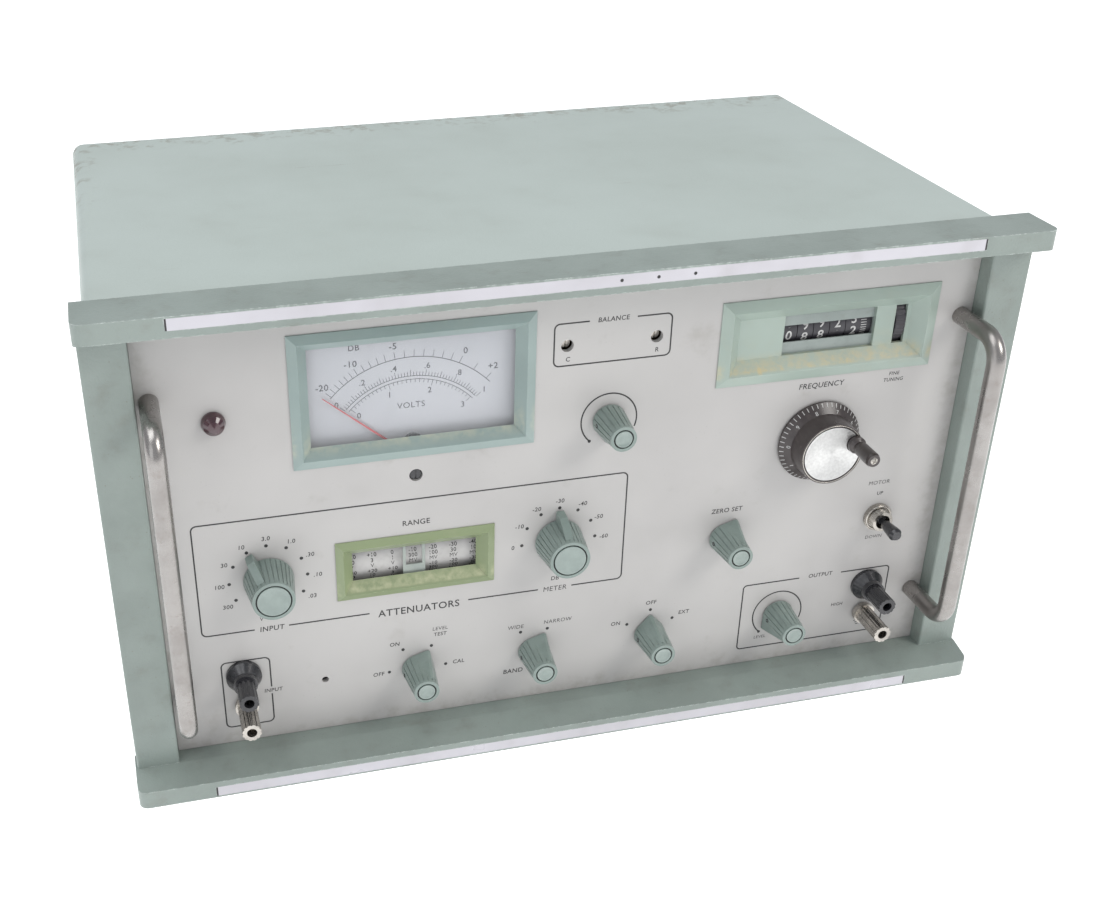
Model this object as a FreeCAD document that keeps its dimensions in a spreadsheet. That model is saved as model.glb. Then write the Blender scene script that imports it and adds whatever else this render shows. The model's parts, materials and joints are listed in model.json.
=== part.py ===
import FreeCAD, Part
import os
import re

import Sketcher
from FreeCAD import Placement, Rotation, Vector

# Laboratory wave analyser in a table case with 19-inch rails.
# Millimetres and degrees.  X runs to the operator's right, Y from the front to
# the back and Z up.  The origin is the middle of the lower rail's underside, on
# the surface that the instrument stands on.
SIZES = {
    # case, rails and posts
    "overall_depth": 304.0,
    "overall_height": 275.0,
    "rail_length": 482.6,
    "rail_depth": 28.0,
    "rail_lip": 10.4,
    "rail_root": 13.7,
    "rail_corner": 5.0,
    "rail_proud": 6.2,
    "strip_length": 402.0,
    "strip_height": 5.8,
    "strip_depth": 1.0,
    "strip_edge": 1.0,
    "post_recess": 16.6,
    "post_inner": 218.0,
    "post_width": 22.3,
    "post_round": 1.2,
    "case_half_width": 236.7,
    "case_wall": 1.6,
    "case_corner": 7.0,
    "cover_thickness": 2.0,
    "cover_gap": 0.3,
    "foot_length": 34.0,
    "foot_width": 16.0,
    "foot_inset": 26.0,
    # front panel and chassis
    "panel_recess": 26.5,
    "panel_thickness": 3.2,
    "panel_gap": 0.2,
    "tray_half_width": 224.0,
    "tray_thickness": 2.0,
    "tray_back_gap": 12.0,
    "bulkhead_set_back": 55.0,
    "bulkhead_top_gap": 30.0,
    # carrying handles
    "handle_x": 211.5,
    "handle_low_z": 50.0,
    "handle_high_z": 222.0,
    "handle_reach": 37.5,
    "handle_rod": 9.5,
    "handle_bend": 13.0,
    # bezels: a proud rim with a bevel each side
    "bezel_edge": 0.6,
    "bezel_tongue": 3.2,
    "cutout_gap": 0.2,
    "meter_x": -83.9,
    "meter_z": 212.7,
    "meter_width": 123.4,
    "meter_height": 71.9,
    "meter_rim_inset": 4.7,
    "meter_proud": 2.2,
    "meter_bevel": 5.0,
    "display_x": 136.2,
    "display_z": 218.9,
    "display_width": 121.4,
    "display_height": 47.0,
    "display_rim_inset": 5.8,
    "display_proud": 2.6,
    "display_bevel": 6.6,
    "display_floor": 4.0,
    "range_x": -84.8,
    "range_z": 113.8,
    "range_width": 84.8,
    "range_height": 35.2,
    "range_rim_inset": 3.8,
    "range_proud": 2.6,
    "range_bevel": 5.4,
    # meter movement
    "meter_glass": 1.4,
    "meter_case_depth": 38.0,
    "meter_case_width": 122.0,
    "meter_case_top": 250.0,
    "meter_case_bottom": 157.0,
    "meter_case_wall": 2.0,
    "meter_scale_set_back": 8.4,
    "meter_scale_thickness": 0.8,
    "needle_pivot_z": 173.0,
    "needle_length": 58.4,
    "needle_width": 0.7,
    "needle_thickness": 0.5,
    "needle_float": 1.0,
    "needle_hub": 4.0,
    "needle_rest": -49.9,
    "needle_staff": 0.8,
    "needle_staff_length": 5.0,
    "movement_radius": 7.0,
    "zero_screw_z": 165.8,
    "zero_screw_head": 2.9,
    "zero_screw_depth": 2.0,
    "zero_screw_shank": 2.0,
    "running_gap": 0.05,
    # frequency counter
    "window_left": 112.8,
    "window_width": 51.8,
    "thumb_x": 179.0,
    "thumb_slot": 6.6,
    "thumb_slot_height": 24.4,
    "thumb_radius": 15.5,
    "thumb_width": 5.4,
    "thumb_flute": 0.7,
    "mask_thickness": 0.8,
    "mask_slot": 9.4,
    "counter_depth": 12.6,
    "counter_radius": 11.0,
    "counter_left": 113.3,
    "counter_pitch": 9.15,
    "counter_side_gap": 0.4,
    "counter_last_width": 14.7,
    "counter_shaft": 1.5,
    "side_plate": 1.5,
    # range drum
    "drum_radius": 18.0,
    "drum_length": 76.0,
    "drum_set_back": 25.0,
    "drum_drop": 4.0,
    "drum_bore": 2.5,
    "cursor_width": 12.0,
    "cursor_height": 24.0,
    "cursor_thickness": 0.8,
    "cursor_set_back": 4.6,
    "cursor_frame": 1.6,
    # tuning knob
    "tuning_x": 138.1,
    "tuning_z": 157.2,
    "tuning_length": 17.5,
    "tuning_skirt": 23.3,
    "tuning_grip": 18.4,
    "tuning_face": 17.5,
    "tuning_insert": 16.2,
    "tuning_insert_depth": 0.8,
    "tuning_bore_depth": 12.0,
    "tuning_gear": 20.0,
    "tuning_pinion": 6.0,
    "gear_width": 5.0,
    "gear_gap": 0.4,
    "crank_radius": 13.6,
    "crank_angle": 21.0,
    "crank_length": 20.0,
    "crank_collar": 4.7,
    "crank_grip": 4.0,
    "crank_pin": 1.5,
    "motor_radius": 16.0,
    "motor_length": 46.0,
    # control knobs: large with a long pointer, small with a short one
    "knob_clear": 0.8,
    "spindle": 3.0,
    "spindle_length": 24.0,
    "large_length": 20.8,
    "large_base": 13.2,
    "large_face": 10.9,
    "large_insert": 9.3,
    "large_pointer": 18.8,
    "large_pointer_width": 4.2,
    "large_tail": 16.0,
    "large_tail_width": 3.0,
    "small_length": 22.8,
    "small_base": 9.0,
    "small_face": 6.9,
    "small_insert": 5.3,
    "small_pointer": 12.4,
    "teardrop_side": 0.72,
    "teardrop_rise": 0.69,
    "teardrop_tip": 0.8,
    "teardrop_fade": 0.4,
    "insert_depth": 1.2,
    "groove_width": 0.5,
    "groove_depth": 0.5,
    "groove_margin": 1.5,
    "skirt_hollow": 3.0,
    "nut_size": 6.2,
    "nut_flats": 10.0,
    "nut_height": 2.0,
    "bushing": 4.6,
    "bushing_back": 5.0,
    "switch_radius": 14.0,
    "switch_length": 22.0,
    "pot_radius": 11.0,
    "pot_length": 13.0,
    # knob places
    "input_knob_x": -162.2,
    "attenuator_z": 115.2,
    "meter_knob_x": -6.7,
    "balance_knob_x": 18.0,
    "balance_knob_z": 184.4,
    "zero_knob_x": 89.4,
    "zero_knob_z": 102.9,
    "bottom_row_z": 45.4,
    "function_knob_x": -85.0,
    "band_knob_x": -18.9,
    "afc_knob_x": 49.2,
    "level_knob_x": 127.7,
    # toggle switch
    "toggle_x": 181.8,
    "toggle_z": 103.0,
    "toggle_bushing": 5.9,
    "toggle_bore": 4.2,
    "toggle_front": 7.4,
    "toggle_nut": 8.2,
    "toggle_pivot": 3.0,
    "toggle_ball": 3.0,
    "toggle_pin": 0.8,
    "toggle_reach": 23.0,
    "toggle_neck": 1.7,
    "toggle_tip": 3.7,
    "toggle_body_width": 13.0,
    "toggle_body_height": 28.0,
    "toggle_body_depth": 18.0,
    # binding posts, a pair each side
    "post_pair_left": -179.4,
    "post_pair_right": 182.0,
    "post_upper_z": 57.5,
    "post_lower_z": 38.45,
    "post_collar": 9.5,
    "post_collar_top": 6.3,
    "post_rim": 2.4,
    "post_collar_height": 6.0,
    "post_sleeve": 5.1,
    "post_flute": 0.8,
    "post_cap_length": 25.5,
    "post_socket": 2.7,
    "post_socket_depth": 12.0,
    "post_stud": 2.4,
    "post_seat": 1.0,
    "post_nut": 3.8,
    "post_nut_height": 4.0,
    "post_ring": 6.3,
    "post_ring_height": 3.0,
    # pilot lamp and trimmers
    "lamp_x": -182.6,
    "lamp_z": 207.8,
    "lamp_radius": 6.0,
    "lamp_height": 6.5,
    "lamp_barrel": 4.8,
    "trimmer_z": 228.3,
    "cap_trimmer_x": -6.0,
    "res_trimmer_x": 41.1,
    "trimmer_hole": 3.3,
    "trimmer_radius": 2.6,
    "trimmer_head": 4.0,
    "trimmer_shank": 1.5,
    "trimmer_depth": 1.0,
    "driver_slot": 0.8,
    "spare_hole_x": -136.0,
    "spare_hole_z": 46.5,
    "spare_hole": 1.9,
    # circuits behind the panel and the back
    "board_left": -14.0,
    "board_right": 68.0,
    "board_thickness": 1.6,
    "board_set_back": 36.0,
    "board_top": 245.0,
    "transformer_x": 150.0,
    "transformer_y": 205.0,
    "transformer_width": 92.0,
    "transformer_depth": 78.0,
    "transformer_height": 76.0,
    "inlet_x": 180.0,
    "inlet_z": 48.0,
    "inlet_width": 34.0,
    "inlet_height": 24.0,
    "inlet_depth": 22.0,
    "inlet_rim": 4.0,
    "vent_length": 60.0,
    "vent_height": 4.0,
    "vent_pitch": 9.0,
    "screw_head": 3.6,
    "screw_head_height": 1.6,
    "screw_shank": 1.6,
    "screw_length": 6.0,
}

# Left out of the sheet: the counts.
DIGIT_WHEELS = 5
VENTS = 9
LARGE_FLUTES = 30
SMALL_FLUTES = 18
POST_FLUTES = 12
THUMB_FLUTES = 36

FRONT = "-rail_depth / 2"
BACK = "(overall_depth - rail_depth / 2)"
PANEL = "(panel_recess - rail_depth / 2)"
PANEL_BACK = "(panel_recess + panel_thickness - rail_depth / 2)"
FLOOR = "(rail_proud + case_wall)"
MOTOR_X = "(tuning_x + tuning_gear + tuning_pinion + gear_gap)"

doc = FreeCAD.newDocument("wave_analyser")
nodes = {}


# ---------------------------------------------------------------- the sheet
def make_sheet():
    """Write every driving size in its own cell, with its name as alias."""
    table = doc.addObject("Spreadsheet::Sheet", "sizes")
    for row, (name, value) in enumerate(SIZES.items(), start=1):
        table.set(f"A{row}", name)
        table.set(f"B{row}", str(value))
        table.setAlias(f"B{row}", name)
    doc.recompute()
    return table


sheet = make_sheet()


def size(name):
    """A size as a number, read back from the sheet."""
    return float(sheet.get(name))


def formula(text):
    """An expression of size names, written as FreeCAD wants it."""
    def in_full(word):
        """A size's name with its sheet in front, and any other word as it is."""
        return "sizes." + word.group() if word.group() in SIZES else word.group()

    return re.sub(r"[a-z_]+", in_full, text)


def bind(thing, prop, text):
    """Tie a property to an expression of size names."""
    thing.setExpression(prop, formula(text))


def place(thing, x="0", y="0", z="0"):
    """Tie an object's place to expressions."""
    bind(thing, "Placement.Base.x", x)
    bind(thing, "Placement.Base.y", y)
    bind(thing, "Placement.Base.z", z)
    return thing


def keep(name, thing):
    """Name a finished sub-part and list it for export."""
    thing.Label = name
    nodes[name] = thing
    return thing


# ------------------------------------------------------- primitive builders
FACING = {
    "front": Rotation(Vector(1, 0, 0), 90),
    "back": Rotation(Vector(1, 0, 0), -90),
    "right": Rotation(Vector(0, 1, 0), 90),
    "up": Rotation(),
}


def box(name, length, width, height, x, y, z):
    """A block by its low corner and its three sizes."""
    block = doc.addObject("Part::Box", name)
    bind(block, "Length", length)
    bind(block, "Width", width)
    bind(block, "Height", height)
    return place(block, x, y, z)


def rod(name, facing, radius, length, x, y, z):
    """A round bar that starts at a point and runs the way it faces."""
    bar = doc.addObject("Part::Cylinder", name)
    bind(bar, "Radius", radius)
    bind(bar, "Height", length)
    bar.Placement.Rotation = FACING[facing]
    return place(bar, x, y, z)


def fuse(name, pieces):
    """Join primitives into one solid."""
    joined = doc.addObject("Part::MultiFuse", name)
    joined.Shapes = pieces
    joined.Refine = True
    return joined


def cut(name, base, tools):
    """Take several primitives away from another."""
    tool = tools[0] if len(tools) == 1 else fuse(name + "_tools", tools)
    result = doc.addObject("Part::Cut", name)
    result.Base = base
    result.Tool = tool
    result.Refine = True
    return result


# ---------------------------------------------------------- body and sketch
def new_body(name, x="0", y="0", z="0"):
    """A PartDesign body whose own origin is at a place on the instrument."""
    return keep(name, place(doc.addObject("PartDesign::Body", name), x, y, z))


def sketch_on(body, role, x="0", y="0", out="0"):
    """A sketch on an origin plane, moved within it and out along its normal."""
    plane = next(f for f in body.Origin.OriginFeatures if f.Role == role)
    sketch = body.newObject("Sketcher::SketchObject", "sketch")
    sketch.AttachmentSupport = [(plane, "")]
    sketch.MapMode = "FlatFace"
    bind(sketch, "AttachmentOffset.Base.x", x)
    bind(sketch, "AttachmentOffset.Base.y", y)
    bind(sketch, "AttachmentOffset.Base.z", out)
    return sketch


def fix_point(sketch, item, end, x, y):
    """Hold one end of a line at a place given by two expressions."""
    for kind, text in (("DistanceX", x), ("DistanceY", y)):
        index = sketch.addConstraint(Sketcher.Constraint(kind, -1, 1, item, end, 1.0))
        bind(sketch, f"Constraints[{index}]", text)


def outline(sketch, points):
    """A closed outline of straight lines through named places."""
    count = len(points)
    rough = [Vector(i, i * i, 0) for i in range(count)]
    first = sketch.GeometryCount
    for i in range(count):
        sketch.addGeometry(Part.LineSegment(rough[i], rough[(i + 1) % count]), False)
    for i in range(count):
        sketch.addConstraint(Sketcher.Constraint("Coincident", first + i, 2, first + (i + 1) % count, 1))
        fix_point(sketch, first + i, 1, *points[i])
    return sketch


def rectangle(sketch, width, height, x="0", z="0"):
    """A rectangle about a centre."""
    left, right = f"({x}) - ({width}) / 2", f"({x}) + ({width}) / 2"
    low, high = f"({z}) - ({height}) / 2", f"({z}) + ({height}) / 2"
    return outline(sketch, [(left, low), (right, low), (right, high), (left, high)])


def circle(sketch, radius, x="0", z="0"):
    """A circle about a centre."""
    item = sketch.addGeometry(Part.Circle(Vector(0, 0, 0), Vector(0, 0, 1), 1.0), False)
    index = sketch.addConstraint(Sketcher.Constraint("Radius", item, 1.0))
    bind(sketch, f"Constraints[{index}]", radius)
    fix_point(sketch, item, 3, x, z)
    return sketch


def pad(body, sketch, length, middle=False):
    """Thicken a sketch along its normal, or equally both ways."""
    feature = body.newObject("PartDesign::Pad", "pad")
    feature.Profile = sketch
    bind(feature, "Length", length)
    feature.Midplane = middle
    return feature


def pocket(body, sketch, length=None):
    """Cut a sketch back against its normal, to a depth or all the way both ways."""
    feature = body.newObject("PartDesign::Pocket", "pocket")
    feature.Profile = sketch
    if length is None:
        feature.Type = "ThroughAll"
        feature.Midplane = True
    else:
        bind(feature, "Length", length)
    return feature


def turn(body, sketch):
    """Spin a profile about the body's Y axis."""
    feature = body.newObject("PartDesign::Revolution", "turned")
    feature.Profile = sketch
    feature.ReferenceAxis = (sketch, ["V_Axis"])
    feature.Angle = 360
    return feature


def loft(body, kind, lower, upper):
    """Run a solid or a cut straight from one section to another."""
    feature = body.newObject("PartDesign::" + kind, "bevel")
    feature.Profile = lower
    feature.Sections = [upper]
    feature.Ruled = True
    return feature


def repeat_round(body, feature, count):
    """Repeat a feature evenly about the body's Y axis."""
    axis = next(f for f in body.Origin.OriginFeatures if f.Role == "Y_Axis")
    pattern = body.newObject("PartDesign::PolarPattern", "ring")
    pattern.Originals = [feature]
    pattern.Axis = (axis, [""])
    pattern.Angle = 360
    pattern.Occurrences = count
    body.Tip = pattern
    return pattern


def round_edges(body, chosen, radius):
    """Fillet the edges that a test picks from the shape made so far."""
    doc.recompute()
    base = body.Tip
    names = [f"Edge{i}" for i, edge in enumerate(base.Shape.Edges, start=1) if chosen(edge)]
    feature = body.newObject("PartDesign::Fillet", "rounded")
    feature.Base = (base, names)
    bind(feature, "Radius", radius)
    return feature


def runs_along(edge, axis):
    """Whether an edge is straight and parallel to an axis."""
    if edge.Curve.TypeId != "Part::GeomLine":
        return False
    direction = (edge.Vertexes[1].Point - edge.Vertexes[0].Point).normalize()
    return abs(abs(direction.dot(axis)) - 1) < 1e-6


# ------------------------------------------------------------ case and frame
def make_rail(name, height, sense):
    """A front rail: a nose with a thin front edge, and a groove for its strip."""
    body = new_body(name, "0", FRONT, height)
    profile = sketch_on(body, "YZ_Plane")
    outline(profile, [("0", "0"), ("rail_depth", "0"), ("rail_depth", f"{sense} rail_root"),
                      ("post_recess", f"{sense} rail_root"), ("0", f"{sense} rail_lip")])
    pad(body, profile, "rail_length", middle=True)
    groove = sketch_on(body, "XZ_Plane", y=f"{sense} (strip_edge + strip_height / 2)")
    rectangle(groove, "strip_length", "strip_height")
    pocket(body, groove, "strip_depth")
    round_edges(body, lambda e: runs_along(e, Vector(0, 0, 1)) and e.Length > size("strip_height") * 1.2
                and abs(e.CenterOfMass.y) < 0.01, "rail_corner")


def make_post(name, x):
    """An upright between the rails, beside the panel."""
    body = new_body(name, x, FRONT, "rail_root")
    section = sketch_on(body, "XY_Plane")
    outline(section, [("0", "post_recess"), ("post_width", "post_recess"), ("post_width", "rail_depth"),
                      ("0", "rail_depth")])
    pad(body, section, "overall_height - 2 * rail_root")
    round_edges(body, lambda e: runs_along(e, Vector(0, 0, 1)) and e.CenterOfMass.y < size("rail_depth") - 1,
                "post_round")


def make_case_shell():
    """The sleeve round the chassis: four sides with rounded long edges."""
    body = new_body("case_shell", "0", f"{FRONT} + rail_depth", "overall_height / 2")
    depth = "overall_depth - rail_depth"
    outer = sketch_on(body, "XZ_Plane", out=f"-({depth})")
    rectangle(outer, "2 * case_half_width", "overall_height - 2 * rail_proud")
    pad(body, outer, depth)
    round_edges(body, lambda e: runs_along(e, Vector(0, 1, 0)), "case_corner")
    doc.recompute()
    base = body.Tip
    ends = [f"Face{i}" for i, face in enumerate(base.Shape.Faces, start=1)
            if abs(abs(face.normalAt(0, 0).y) - 1) < 1e-6]
    hollow = body.newObject("PartDesign::Thickness", "wall")
    hollow.Base = (base, ends)
    hollow.Reversed = True
    bind(hollow, "Value", "case_wall")


def make_rear_cover():
    """The back plate, with two banks of vents and the holes for the inlet and screws."""
    body = new_body("rear_cover", "0", f"{BACK} - cover_thickness", "overall_height / 2")
    plate = sketch_on(body, "XZ_Plane", out="-cover_thickness")
    rectangle(plate, "2 * (case_half_width - case_wall - cover_gap)",
              "overall_height - 2 * (rail_proud + case_wall + cover_gap)")
    pad(body, plate, "cover_thickness")
    round_edges(body, lambda e: runs_along(e, Vector(0, 1, 0)), "case_corner - case_wall")
    holes = sketch_on(body, "XZ_Plane")
    for x in ("-case_half_width / 2", "case_half_width / 2"):
        for row in range(VENTS):
            rectangle(holes, "vent_length", "vent_height", x, f"vent_pitch * {row}")
    rectangle(holes, "inlet_width + 2 * cutout_gap", "inlet_height + 2 * cutout_gap",
              "inlet_x", "inlet_z - overall_height / 2")
    for x, z in cover_screw_places():
        circle(holes, "screw_shank + cutout_gap", x, f"{z} - overall_height / 2")
    pocket(body, holes)


def cover_screw_places():
    """Where the cover's screws stand: three along the top and three along the bottom."""
    across = "(case_half_width - case_wall - 5 * screw_head)"
    rows = ("(rail_proud + case_wall + 3 * screw_head)",
            "(overall_height - rail_proud - case_wall - 3 * screw_head)")
    return [(f"{side} * {across}", z) for z in rows for side in (-1, 0, 1)]


def make_tray():
    """The chassis: a floor plate and the bulkhead that stands on it."""
    floor = box("tray_floor", "2 * tray_half_width",
                "overall_depth - panel_recess - panel_thickness - cover_thickness - tray_back_gap",
                "tray_thickness", "-tray_half_width", PANEL_BACK, FLOOR)
    wall = box("tray_wall", "2 * tray_half_width", "tray_thickness",
               f"overall_height - rail_proud - case_wall - bulkhead_top_gap - {FLOOR}",
               "-tray_half_width", f"{PANEL_BACK} + bulkhead_set_back", FLOOR)
    hole_y = f"{PANEL_BACK} + bulkhead_set_back - tray_thickness"
    shaft_hole = rod("shaft_hole", "back", "spindle + running_gap", "3 * tray_thickness", "tuning_x", hole_y,
                     "tuning_z")
    pinion_hole = rod("pinion_hole", "back", "tuning_pinion + cutout_gap", "3 * tray_thickness", MOTOR_X,
                      hole_y, "tuning_z")
    keep("chassis_tray", cut("chassis_tray", fuse("tray_plates", [floor, wall]), [shaft_hole, pinion_hole]))


def make_panel():
    """The front panel, cut for the bezels and drilled for the controls."""
    body = new_body("front_panel", "0", PANEL, "0")
    plate = sketch_on(body, "XZ_Plane", out="-panel_thickness")
    rectangle(plate, "2 * (post_inner - panel_gap)", "overall_height - 2 * (rail_root + panel_gap)",
              "0", "overall_height / 2")
    pad(body, plate, "panel_thickness")
    holes = sketch_on(body, "XZ_Plane")
    for name in ("meter", "display", "range"):
        less = f"2 * ({name}_rim_inset - cutout_gap)"
        rectangle(holes, f"{name}_width - {less}", f"{name}_height - {less}", f"{name}_x", f"{name}_z")
    for _, x, z, *_ in KNOBS:
        circle(holes, "bushing + cutout_gap", x, z)
    circle(holes, "spindle + 2 * cutout_gap", "tuning_x", "tuning_z")
    circle(holes, "toggle_bushing + cutout_gap", "toggle_x", "toggle_z")
    circle(holes, "lamp_barrel + cutout_gap", "lamp_x", "lamp_z")
    circle(holes, "spare_hole", "spare_hole_x", "spare_hole_z")
    circle(holes, "zero_screw_head + 3 * cutout_gap", "meter_x", "zero_screw_z")
    for x in ("cap_trimmer_x", "res_trimmer_x"):
        circle(holes, "trimmer_hole", x, "trimmer_z")
    for x in ("post_pair_left", "post_pair_right"):
        for z in ("post_upper_z", "post_lower_z"):
            circle(holes, "post_stud + cutout_gap", x, z)
    pocket(body, holes)


def make_handle(name, x):
    """A bent rod: two legs from the panel and a grip between them."""
    body = new_body(name, x, PANEL, "0")
    path = sketch_on(body, "YZ_Plane")
    corner = "(handle_bend - handle_reach)"
    ends = [(("0", "handle_high_z"), (corner, "handle_high_z")),
            (("-handle_reach", "handle_high_z - handle_bend"),
             ("-handle_reach", "handle_low_z + handle_bend")),
            ((corner, "handle_low_z"), ("0", "handle_low_z"))]
    reach, bend = size("handle_reach"), size("handle_bend")
    high, low = size("handle_high_z"), size("handle_low_z")
    rough = [(Vector(0, high, 0), Vector(bend - reach, high, 0)),
             (Vector(-reach, high - bend, 0), Vector(-reach, low + bend, 0)),
             (Vector(bend - reach, low, 0), Vector(0, low, 0))]
    lines = [path.addGeometry(Part.LineSegment(*pair), False) for pair in rough]
    for line, (start, end) in zip(lines, ends):
        fix_point(path, line, 1, *start)
        fix_point(path, line, 2, *end)
    doc.recompute()
    diagonal = bend * (1 - 0.5 ** 0.5)
    middles = [Vector(diagonal - reach, high - diagonal, 0), Vector(diagonal - reach, low + diagonal, 0)]
    for line, middle in zip((0, 1), middles):
        arc = path.addGeometry(Part.Arc(rough[line][1], middle, rough[line + 1][0]), False)
        swapped = path.getPoint(arc, 1).distanceToPoint(rough[line][1]) > bend / 2
        first, last = (2, 1) if swapped else (1, 2)
        path.addConstraint(Sketcher.Constraint("Coincident", arc, first, lines[line], 2))
        path.addConstraint(Sketcher.Constraint("Coincident", arc, last, lines[line + 1], 1))
        index = path.addConstraint(Sketcher.Constraint("Radius", arc, bend))
        bind(path, f"Constraints[{index}]", "handle_bend")
    section = sketch_on(body, "XZ_Plane", y="handle_high_z")
    circle(section, "handle_rod / 2")
    doc.recompute()
    pipe = body.newObject("PartDesign::AdditivePipe", "rod")
    pipe.Profile = section
    pipe.Spine = (path, [f"Edge{i + 1}" for i in range(len(lines) + len(middles))])


# ------------------------------------------------------------------- bezels
def make_bezel(name, label, floor=None):
    """A bevelled frame over a panel cut-out, open right through or with a floor."""
    body = new_body(label, f"{name}_x", PANEL, f"{name}_z")
    inset = f"2 * {name}_rim_inset"
    slope = f"2 * ({name}_rim_inset + {name}_bevel)"
    tongue = "bezel_tongue" if floor is None else f"({floor} + cover_thickness)"

    def section(out, less):
        """A rectangle of the frame's outside size, less an inset, at a height."""
        sketch = sketch_on(body, "XZ_Plane", out=out)
        return rectangle(sketch, f"{name}_width - ({less})", f"{name}_height - ({less})")

    pad(body, section("0", "0"), "bezel_edge")
    loft(body, "AdditiveLoft", section("bezel_edge", "0"), section(f"{name}_proud", inset))
    pad(body, section(f"-{tongue}", inset), tongue)
    depth = tongue if floor is None else floor
    loft(body, "SubtractiveLoft", section(f"{name}_proud", inset), section(f"-{depth}", slope))
    return body


def make_display_bezel():
    """The counter's bezel: its floor has the window and the thumbwheel's slot."""
    body = make_bezel("display", "display_bezel", "display_floor")
    window_height = "display_height - 2 * (display_rim_inset + display_bevel)"
    openings = sketch_on(body, "XZ_Plane")
    rectangle(openings, "window_width", window_height, "window_left + window_width / 2 - display_x")
    rectangle(openings, "thumb_slot", f"{window_height} - 0.6", "thumb_x - display_x")
    pocket(body, openings)


# ------------------------------------------------------------- meter movement
def make_meter():
    """The panel meter: housing, scale plate, glass, needle and zero adjuster."""
    back = PANEL_BACK
    bottom, top = "meter_case_bottom", "meter_case_top"
    outer = box("meter_block", "meter_case_width", "meter_case_depth", f"{top} - {bottom}",
                "meter_x - meter_case_width / 2", back, bottom)
    hollow = box("meter_hollow", "meter_case_width - 2 * meter_case_wall", "meter_case_depth",
                 f"{top} - {bottom} - 2 * meter_case_wall",
                 "meter_x - meter_case_width / 2 + meter_case_wall",
                 f"{back} + meter_case_wall", f"{bottom} + meter_case_wall")
    lid = box("meter_back", "meter_case_width", "meter_case_wall", f"{top} - {bottom}",
              "meter_x - meter_case_width / 2", f"{back} + meter_case_depth - meter_case_wall", bottom)
    face = box("meter_face_hole", "meter_width - 2 * meter_rim_inset + 2 * cutout_gap",
               "2 * meter_case_wall", "meter_height - 2 * meter_rim_inset + 2 * cutout_gap",
               "meter_x - meter_width / 2 + meter_rim_inset - cutout_gap", f"{back} - meter_case_wall / 2",
               "meter_z - meter_height / 2 + meter_rim_inset - cutout_gap")
    bore = rod("meter_bore", "back", "zero_screw_shank + running_gap", "2 * meter_case_wall", "meter_x",
               f"{back} - meter_case_wall / 2", "zero_screw_z")
    walls = cut("meter_walls", outer, [hollow, face, bore])
    movement_y = f"({PANEL} + meter_scale_set_back)"
    movement = rod("movement", "back", "movement_radius", f"{back} + meter_case_depth - {movement_y}",
                   "meter_x", movement_y, "needle_pivot_z")
    staff_bore = rod("staff_bore", "back", "needle_staff + running_gap", "2 * needle_staff_length",
                     "meter_x", movement_y, "needle_pivot_z")
    keep("meter_case", fuse("meter_case", [walls, lid, cut("movement_bored", movement, [staff_bore])]))
    plate_y = f"{PANEL} + meter_scale_set_back"
    plate = box("meter_scale", "meter_case_width - 2 * meter_case_wall", "meter_scale_thickness",
                f"{top} - meter_case_wall - needle_pivot_z - 2 * needle_hub",
                "meter_x - meter_case_width / 2 + meter_case_wall", plate_y,
                "needle_pivot_z + 2 * needle_hub")
    keep("meter_scale", plate)
    glass = box("meter_glass", "meter_width - 2 * meter_rim_inset", "meter_glass",
                "meter_height - 2 * meter_rim_inset", "meter_x - meter_width / 2 + meter_rim_inset",
                f"{PANEL} + bezel_tongue", "meter_z - meter_height / 2 + meter_rim_inset")
    keep("meter_glass", glass)


def make_needle():
    """The needle on its hub, lying at zero on the left of the scale."""
    body = new_body("meter_needle", "meter_x", f"{PANEL} + meter_scale_set_back - needle_float",
                    "needle_pivot_z")
    bind(body, "Placement.Rotation.Angle", "needle_rest")
    body.Placement.Rotation = Rotation(Vector(0, 1, 0), size("needle_rest"))
    hub = sketch_on(body, "XZ_Plane")
    circle(hub, "needle_hub")
    pad(body, hub, "2 * needle_thickness")
    blade = sketch_on(body, "XZ_Plane")
    outline(blade, [("-needle_width", "needle_hub / 2"), ("needle_width", "needle_hub / 2"),
                    ("needle_width / 4", "needle_length"), ("-needle_width / 4", "needle_length")])
    pad(body, blade, "needle_thickness")
    staff = sketch_on(body, "XZ_Plane", out="-needle_float - needle_staff_length")
    circle(staff, "needle_staff")
    pad(body, staff, "needle_float + needle_staff_length")


def slotted_screw(name, x, z, head, head_length, shank, shank_length, front):
    """A screwdriver adjuster: a slotted head and a shank behind it."""
    body = new_body(name, x, front, z)
    profile = sketch_on(body, "XY_Plane")
    outline(profile, [("0", "0"), (head, "0"), (head, head_length), (shank, head_length),
                      (shank, f"{head_length} + {shank_length}"), ("0", f"{head_length} + {shank_length}")])
    turn(body, profile)
    slot = sketch_on(body, "XZ_Plane")
    rectangle(slot, "driver_slot", f"2 * ({head})")
    pocket(body, slot, "driver_slot")


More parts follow.
